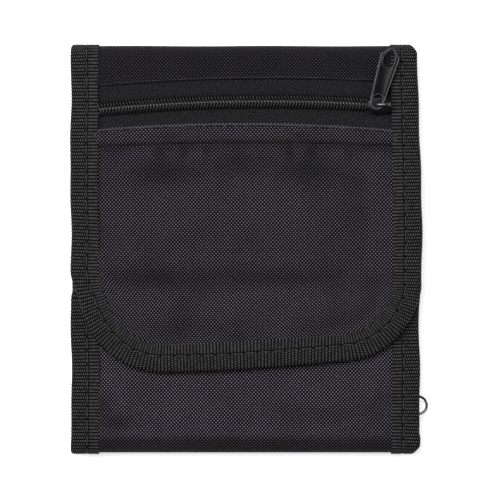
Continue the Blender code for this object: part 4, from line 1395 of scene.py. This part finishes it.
def flat_panel(
    name, half_width, y_range, low, thickness, material, relief=None, step=2.0, seams=(), extra=()
):
    """A sheet lying on the back panel, whose upper face is the one seen when the wallet is open.

    seams are lines of stitches on that face, each (x, y, stitch length).
    """
    y = np.linspace(*y_range, round((y_range[1] - y_range[0]) / step))
    right = np.full(len(y), half_width)
    columns = round(2 * half_width / step)

    def raised(x, s):
        return -relief(x, s - S_BACK) if relief else np.zeros_like(x)

    parts = list(extra)
    for x_line, y_line, length in seams:
        lift = relief(x_line, y_line) if relief else 0.0
        parts.append(seam(x_line, y_line, low + thickness + lift, length))
    return panel(name, s_on_back(y), -right, right, low, thickness, material, raised, columns, extra=parts)


def band(x_range, y_range, low, thickness, relief=None, slot=0):
    """A strip of cloth or tape lying along x, as part of another piece."""
    x = np.linspace(*x_range, max(3, round((x_range[1] - x_range[0]) / 1.6)))
    y = np.linspace(*y_range, 6)
    lift = relief(*np.meshgrid(x, y)) if relief else 0.0
    round_off = 0.1 * np.abs(np.linspace(-1, 1, 6))[:, None] ** 4
    return sheet_between(x, y, low + thickness - round_off + lift, low + lift, slot, v_from=y[0])


def pocket_bow(x, y):
    """The passport pocket's front bows out a little towards its open top."""
    bow = 0.22 * np.cos(x / 55.0 * 1.5) * smooth((y + 60) / 100) - 0.10
    return bow + 0.05 * np.sin(x / 9.0) * smooth((y - 40) / 20)


def slot_bow(x, y):
    """A card pocket's slight waviness."""
    return 0.04 * np.sin(x / 12.0 + y / 15.0)


def line_of(low, high):
    return np.linspace(low, high, 200)


def passport_pocket():
    """The pocket's front, with tape along its open edge."""
    trim = band((-54.4, 54.4), (54.6, 60.9), 7.36, 0.34, pocket_bow, slot=2)
    front = flat_panel(
        "passport_pocket_front", PASSPORT_HALF_WIDTH, (PASSPORT_BOTTOM, PASSPORT_TOP), PASSPORT_LOW, 0.38,
        LINING, pocket_bow, seams=[(x, line_of(-73, 54), 3.0) for x in (53.2, -53.2)], extra=[trim],
    )
    front.data.materials.append(TAPE)
    return front


GUSSET_Z = np.array([2.68, 3.0, 3.9, 4.7, 5.5, 6.4, 6.76])
GUSSET_FOLD = np.array([0.1, 0.25, 0.75, 1.0, 0.75, 0.25, 0.1])
GUSSET_THICKNESS = 0.3


def side_gusset(word, side):
    section = np.stack([side * (54.5 - GUSSET_FOLD), GUSSET_Z], 1)[::-side]
    return swept_sheet(f"passport_gusset_{word}", section, (-73.0, 60.6), GUSSET_THICKNESS, [LINING], 90)


def bottom_gusset():
    x = np.linspace(-53.0, 53.0, 70)
    y = GUSSET_FOLD * 0.6 - 73.5
    outer = np.stack(np.broadcast_arrays(x[None], y[:, None], GUSSET_Z[:, None]), 2).reshape(-1, 3)
    inner = outer + np.array([0, GUSSET_THICKNESS, 0])
    return build("passport_gusset_bottom", [slab(outer, inner, outer[:, [0, 2]], len(y), len(x))], [LINING])


def card_slot(layer, word, top):
    """One card pocket's sheet, on top of the one behind it. The front one is stitched along its bottom."""
    low = CARD_LOW + CARD_SPACING * layer
    front = word == "front"
    seams = [(line_of(-45.5, 45.5), top - 1.6, 2.6)]
    if front:
        seams.append((line_of(-45.5, 45.5), 2.2, 2.6))
    seams += [(side * 45.6, line_of(2.0 if front else top - 11.5, top - 1.0), 2.6) for side in (-1, 1)]
    hem = band((-46.2, 46.2), (top - 2.6, top + 0.05), low + 0.24, 0.2, slot_bow)
    return flat_panel(
        f"card_slot_{word}", CARD_HALF_WIDTH, (CARD_BOTTOM, top), low, 0.32, LINING, slot_bow,
        seams=seams, extra=[hem],
    )


def id_window_frame():
    """Cloth round three sides of the window."""
    width = (-FRAME_HALF_WIDTH, FRAME_HALF_WIDTH)
    parts = [band(width, (-68.0, -63.5), FRAME_LOW, 0.2)]
    for x_range in ((-FRAME_HALF_WIDTH, -40.0), (40.0, FRAME_HALF_WIDTH)):
        parts.append(band(x_range, (-64.0, -11.4), FRAME_LOW, 0.18))
    parts += [seam(side * 41.0, line_of(-64.5, -12), FRAME_HIGH) for side in (-1, 1)]
    parts.append(seam(line_of(-41, 41), -64.5, FRAME_HIGH))
    return build("id_window_frame", parts, [LINING, BLACK_THREAD])


def id_window_hem():
    tape_strip = band((-FRAME_HALF_WIDTH, FRAME_HALF_WIDTH), (-11.4, -5.9), HEM_LOW, 0.25)
    return build("id_window_hem", [tape_strip, seam(line_of(-43, 43), -10.6, HEM_HIGH)], [TAPE, BLACK_THREAD])


def back_board():
    x = np.linspace(-BOARD_HALF_WIDTH, BOARD_HALF_WIDTH, 30)
    y = np.linspace(-BOARD_HALF_HEIGHT, BOARD_HALF_HEIGHT, 40)
    grid_x, grid_y = np.meshgrid(x / BOARD_HALF_WIDTH, y / BOARD_HALF_HEIGHT)
    thin = 0.3 * (np.abs(grid_x) ** 12 + np.abs(grid_y) ** 12)
    return build("back_board", [sheet_between(x, y, 0.66 + thin, 1.92 - thin)], [FOAM])


passport_front = passport_pocket()
gusset_left, gusset_right = side_gusset("left", -1), side_gusset("right", 1)
gusset_bottom = bottom_gusset()
cards = [card_slot(layer, word, top) for layer, (word, top) in enumerate(CARD_TOPS.items())]
window_frame = id_window_frame()
WINDOW_RANGE = (WINDOW_BOTTOM, WINDOW_TOP)
id_window = flat_panel("id_window", WINDOW_HALF_WIDTH, WINDOW_RANGE, WINDOW_LOW, 0.14, VINYL, step=3.0)
window_hem = id_window_hem()
board = back_board()

BRISTLE_SIDES = 4
BRISTLE_RADIUS = 0.075


def bristle(a, b, turn, reach, rise, angles, base):
    """Points round one hook or loop that stands on (a, b) and leans the way that turn says."""
    run = np.array([math.cos(turn), math.sin(turn)])
    out = reach * (1 - np.cos(angles)) - reach
    lie = np.column_stack([a + run[0] * out, b + run[1] * out, base + rise * np.sin(angles)])
    across = np.array([-run[1], run[0], 0.0])
    up = np.cross(unit(np.gradient(lie, axis=0)), across)
    around = np.arange(BRISTLE_SIDES) * 2 * math.pi / BRISTLE_SIDES
    ring = across[None, None] * np.cos(around)[None, :, None] + up[:, None] * np.sin(around)[None, :, None]
    return (lie[:, None] + BRISTLE_RADIUS * ring).reshape(-1, 3)


def hooks_and_loops(name, base_low, base_high, pile_from, height, hooked, material):
    """A patch of woven tape with rows of stiff hooks or a tangle of soft loops on one face.

    They stand on its upper face if height is above 0, and on its lower one if it is below.
    """
    x = np.linspace(-PATCH_HALF_WIDTH, PATCH_HALF_WIDTH, 36)
    y = np.linspace(PATCH_BOTTOM, PATCH_TOP, 10)
    parts = [sheet_between(x, y, base_high, base_low)]
    away = 1.0 if height > 0 else -1.0
    spacing, scatter, reach = (1.05, 0.03, 0.26) if hooked else (0.95, 0.25, 0.40)
    places = [(a, b) for a in np.arange(-33.0, 33.1, spacing) for b in np.arange(-34.2, -19.0, spacing)]
    angles = np.linspace(0, math.pi * (0.8 if hooked else 1.0), 6)
    points, faces = [], []
    for k, (a, b) in enumerate(places):
        turn = (0.0 if k % 2 else math.pi) if hooked else rng.uniform(0, 2 * math.pi)
        a, b = a + rng.normal(0, scatter), b + rng.normal(0, scatter)
        tall = abs(height) * (1.0 if hooked else rng.uniform(0.6, 1.0))
        points.append(bristle(a, b, turn, reach, away * tall, angles, pile_from))
        faces += capped_faces(len(angles), BRISTLE_SIDES, k * len(angles) * BRISTLE_SIDES)
    parts.append(Part(np.concatenate(points), faces))
    face = base_high if height > 0 else base_low
    side, low, high = PATCH_HALF_WIDTH - 0.8, PATCH_BOTTOM + 0.8, PATCH_TOP - 0.8
    parts += [seam(line_of(-side, side), y_line, face, radius=0.15, up=away) for y_line in (low, high)]
    parts += [seam(x_line, line_of(low, high), face, radius=0.15, up=away) for x_line in (-side, side)]
    return build(name, parts, [material, BLACK_THREAD])


hook_patch = hooks_and_loops(
    "hook_patch", base_low=10.86, base_high=11.06, pile_from=10.88, height=-0.33, hooked=True, material=HOOK
)
loop_patch = hooks_and_loops(
    "loop_patch", base_low=9.84, base_high=10.0, pile_from=9.98, height=0.36, hooked=False, material=PILE
)

# --- Bodies of the joints, the CAD parts each piece replaces, and cut sizes -----------------------


def bends(obj, fold, slot, *nodes):
    """A piece baked where it lies, in place of the CAD parts named or else of the one with its own name."""
    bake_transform(obj)
    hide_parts(*(nodes or [obj.name.removesuffix(LOOK)]))


def rides(body, slot, *objects):
    """Pieces that move with one body, each but the window's frame in place of the CAD part of its name."""
    for obj in objects:
        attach(obj, body)
        if obj is not window_frame:
            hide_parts(obj.name.removesuffix(LOOK))


bends(back_shell["upper"], "top_back", "oxford_nylon", "back_shell", "top_spine_shell")
bends(back_shell["lower"], "bottom_back", "oxford_nylon", "bottom_spine_shell")
bends(back_lining["upper"], "top_back", "lining_fabric", "back_lining", "top_spine_lining")
bends(back_lining["lower"], "bottom_back", "lining_fabric", "bottom_spine_lining")
for word in ("left", "right"):
    nodes = (f"back_binding_{word}", f"top_spine_binding_{word}")
    bends(binding[word, "upper"], "top_back", "grosgrain_tape", *nodes)
    bends(binding[word, "lower"], "bottom_back", "grosgrain_tape", f"bottom_spine_binding_{word}")
bends(top_strip, "top_flap", "oxford_nylon")
bends(flap_lining, "top_flap", "lining_fabric")
bends(flap_binding, "top_flap", "grosgrain_tape")
bends(front_shell, "bottom_front", "oxford_nylon")
bends(front_lining, "bottom_front", "lining_fabric")
bends(front_binding, "bottom_front", "grosgrain_tape")
rides("flap", "oxford_nylon", pocket_front)
rides("flap", "hook_tape", hook_patch)
rides("front_panel", "loop_tape", loop_patch)
rides("flap", "zip_tape", zip_tape_upper, zip_tape_lower)
rides("flap", "zip_coil", zip_coil_upper, zip_coil_lower)
for obj, side in ((zip_tape_upper, 1), (zip_tape_lower, -1), (zip_coil_upper, 1), (zip_coil_lower, -1)):
    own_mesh(obj)
rides("zip_slider", "black_enamel", slider_body, slider_crown)
rides("zip_pull", "black_enamel", pull_tab)
rides("side_ring", "nickel", d_ring)
rides("back_panel", "grosgrain_tape", ring_tab)
rides("back_panel", "lining_fabric", passport_front, gusset_left, gusset_right, gusset_bottom, *cards)
rides("back_panel", "clear_vinyl", id_window)
rides("back_panel", "lining_fabric", window_frame)
rides("back_panel", "grosgrain_tape", window_hem)
rides("back_panel", "foam_board", board)


def cloth(obj, width, length, held, rests_on, corners=(), with_pieces=()):
    """A piece cut to width x length mm, less what its rounded corners take off; none of these arguments is
    used.
    """


def bound(obj, edge, depth):
    """Tape folded round an edge: works out its width and length and passes them to cloth."""
    section, skin = folded_section(depth)
    cloth(obj, section[0, 3] - section[skin - 1, 3], distances(edge[0])[-1], "folded", [board])


ACROSS = 2 * SIDE
UPPER, LOWER = S_TOP - s_on_back(0), s_on_back(0) - S_BOTTOM
FLAP_CORNERS = (FLAP_LEFT_CORNER, FLAP_RIGHT_CORNER)
FRONT_CORNERS = (FRONT_CORNER, FRONT_CORNER)
for sheets in (back_shell, back_lining):
    cloth(sheets["upper"], ACROSS, UPPER, "folded", [board])
    cloth(sheets["lower"], ACROSS, LOWER, "folded", [board])
cloth(top_strip, ACROSS, s_on_flap(strip_edge(0)) - S_TOP, "folded", [flap_lining])
cloth(pocket_front, ACROSS, S_END - s_on_flap(pocket_top(0)), "laid", [flap_lining], FLAP_CORNERS)
cloth(flap_lining, ACROSS, S_END - S_TOP, "folded", [back_shell["upper"]], FLAP_CORNERS)
cloth(front_shell, ACROSS, S_BOTTOM, "folded", [back_shell["lower"]], FRONT_CORNERS)
cloth(front_lining, ACROSS, S_BOTTOM, "folded", [back_shell["lower"]], FRONT_CORNERS)
for place, obj in binding.items():
    bound(obj, binding_edge[place], BACK_DEPTH)
bound(flap_binding, flap_edge, FLAP_DEPTH)
bound(front_binding, front_edge, FRONT_DEPTH)
for obj, rests_on in ((zip_tape_upper, top_strip), (zip_tape_lower, pocket_front)):
    cloth(obj, 2 * ZIP_TAPE_HALF_LENGTH, ZIP_TAPE_END - ZIP_TAPE_START, "stretched", [rests_on])
passport_height = PASSPORT_TOP - PASSPORT_BOTTOM
gussets = [gusset_left, gusset_right, gusset_bottom]
cloth(passport_front, 2 * PASSPORT_HALF_WIDTH, passport_height, "laid", gussets)
for obj, top in zip(cards, CARD_TOPS.values()):
    cloth(obj, 2 * CARD_HALF_WIDTH, top - CARD_BOTTOM, "laid", [passport_front])
window_height = WINDOW_TOP - WINDOW_BOTTOM
edging = [window_frame, window_hem]
cloth(id_window, 2 * WINDOW_HALF_WIDTH, window_height, "laid", [passport_front], with_pieces=edging)

# --- Floor, lights and camera ---------------------------------------------------------------------

FLOOR_HALF = 12.0
FLOOR_Z = -0.0004


def floor():
    """A white sheet, lit a little from within so that it stays white to its edges."""
    mesh = bpy.data.meshes.new("floor")
    signs = ((-1, -1), (1, -1), (1, 1), (-1, 1))
    mesh.from_pydata([(x * FLOOR_HALF, y * FLOOR_HALF, FLOOR_Z) for x, y in signs], [], [(0, 1, 2, 3)])
    paper = bpy.data.materials.new("floor")
    paper.use_nodes = True
    inputs = paper.node_tree.nodes["Principled BSDF"].inputs
    inputs["Base Color"].default_value = (0.95, 0.95, 0.95, 1)
    inputs["Roughness"].default_value = 0.9
    inputs["Emission Color"].default_value = (1, 1, 1, 1)
    inputs["Emission Strength"].default_value = 0.6
    mesh.materials.append(paper)
    obj = bpy.data.objects.new("floor", mesh)
    bpy.context.scene.collection.objects.link(obj)


def lamp(name, place, size, power_w):
    """A round lamp that faces the middle of the back."""
    light = bpy.data.lights.new(name, "AREA")
    light.shape = "DISK"
    light.size = size
    light.energy = power_w
    obj = bpy.data.objects.new(name, light)
    obj.location = place
    obj.rotation_euler = (-Vector(place)).to_track_quat("-Z", "Y").to_euler()
    bpy.context.scene.collection.objects.link(obj)


floor()
lamp("overhead", (-0.30, 0.40, 1.15), 0.8, 13.0)
lamp("left_fill", (-0.9, 0.1, 0.7), 0.5, 3.0)
lamp("right_fill", (0.9, 0.2, 0.7), 0.5, 2.5)
world = bpy.data.worlds.new("studio")
world.use_nodes = True
background = world.node_tree.nodes["Background"].inputs
background["Color"].default_value = (1, 1, 1, 1)
background["Strength"].default_value = 0.15
bpy.context.scene.world = world
bpy.context.scene.view_settings.view_transform = "Standard"

camera = bpy.data.objects.new("camera", bpy.data.cameras.new("camera"))
camera.data.lens = 200.0
camera.data.sensor_width = 36.0
FRAMED_WIDTH = 0.194
distance = FRAMED_WIDTH * camera.data.lens / camera.data.sensor_width
camera.location = (0.0018, -0.0002, FLAP_Z * MM + distance)
bpy.context.scene.collection.objects.link(camera)
bpy.context.scene.camera = camera
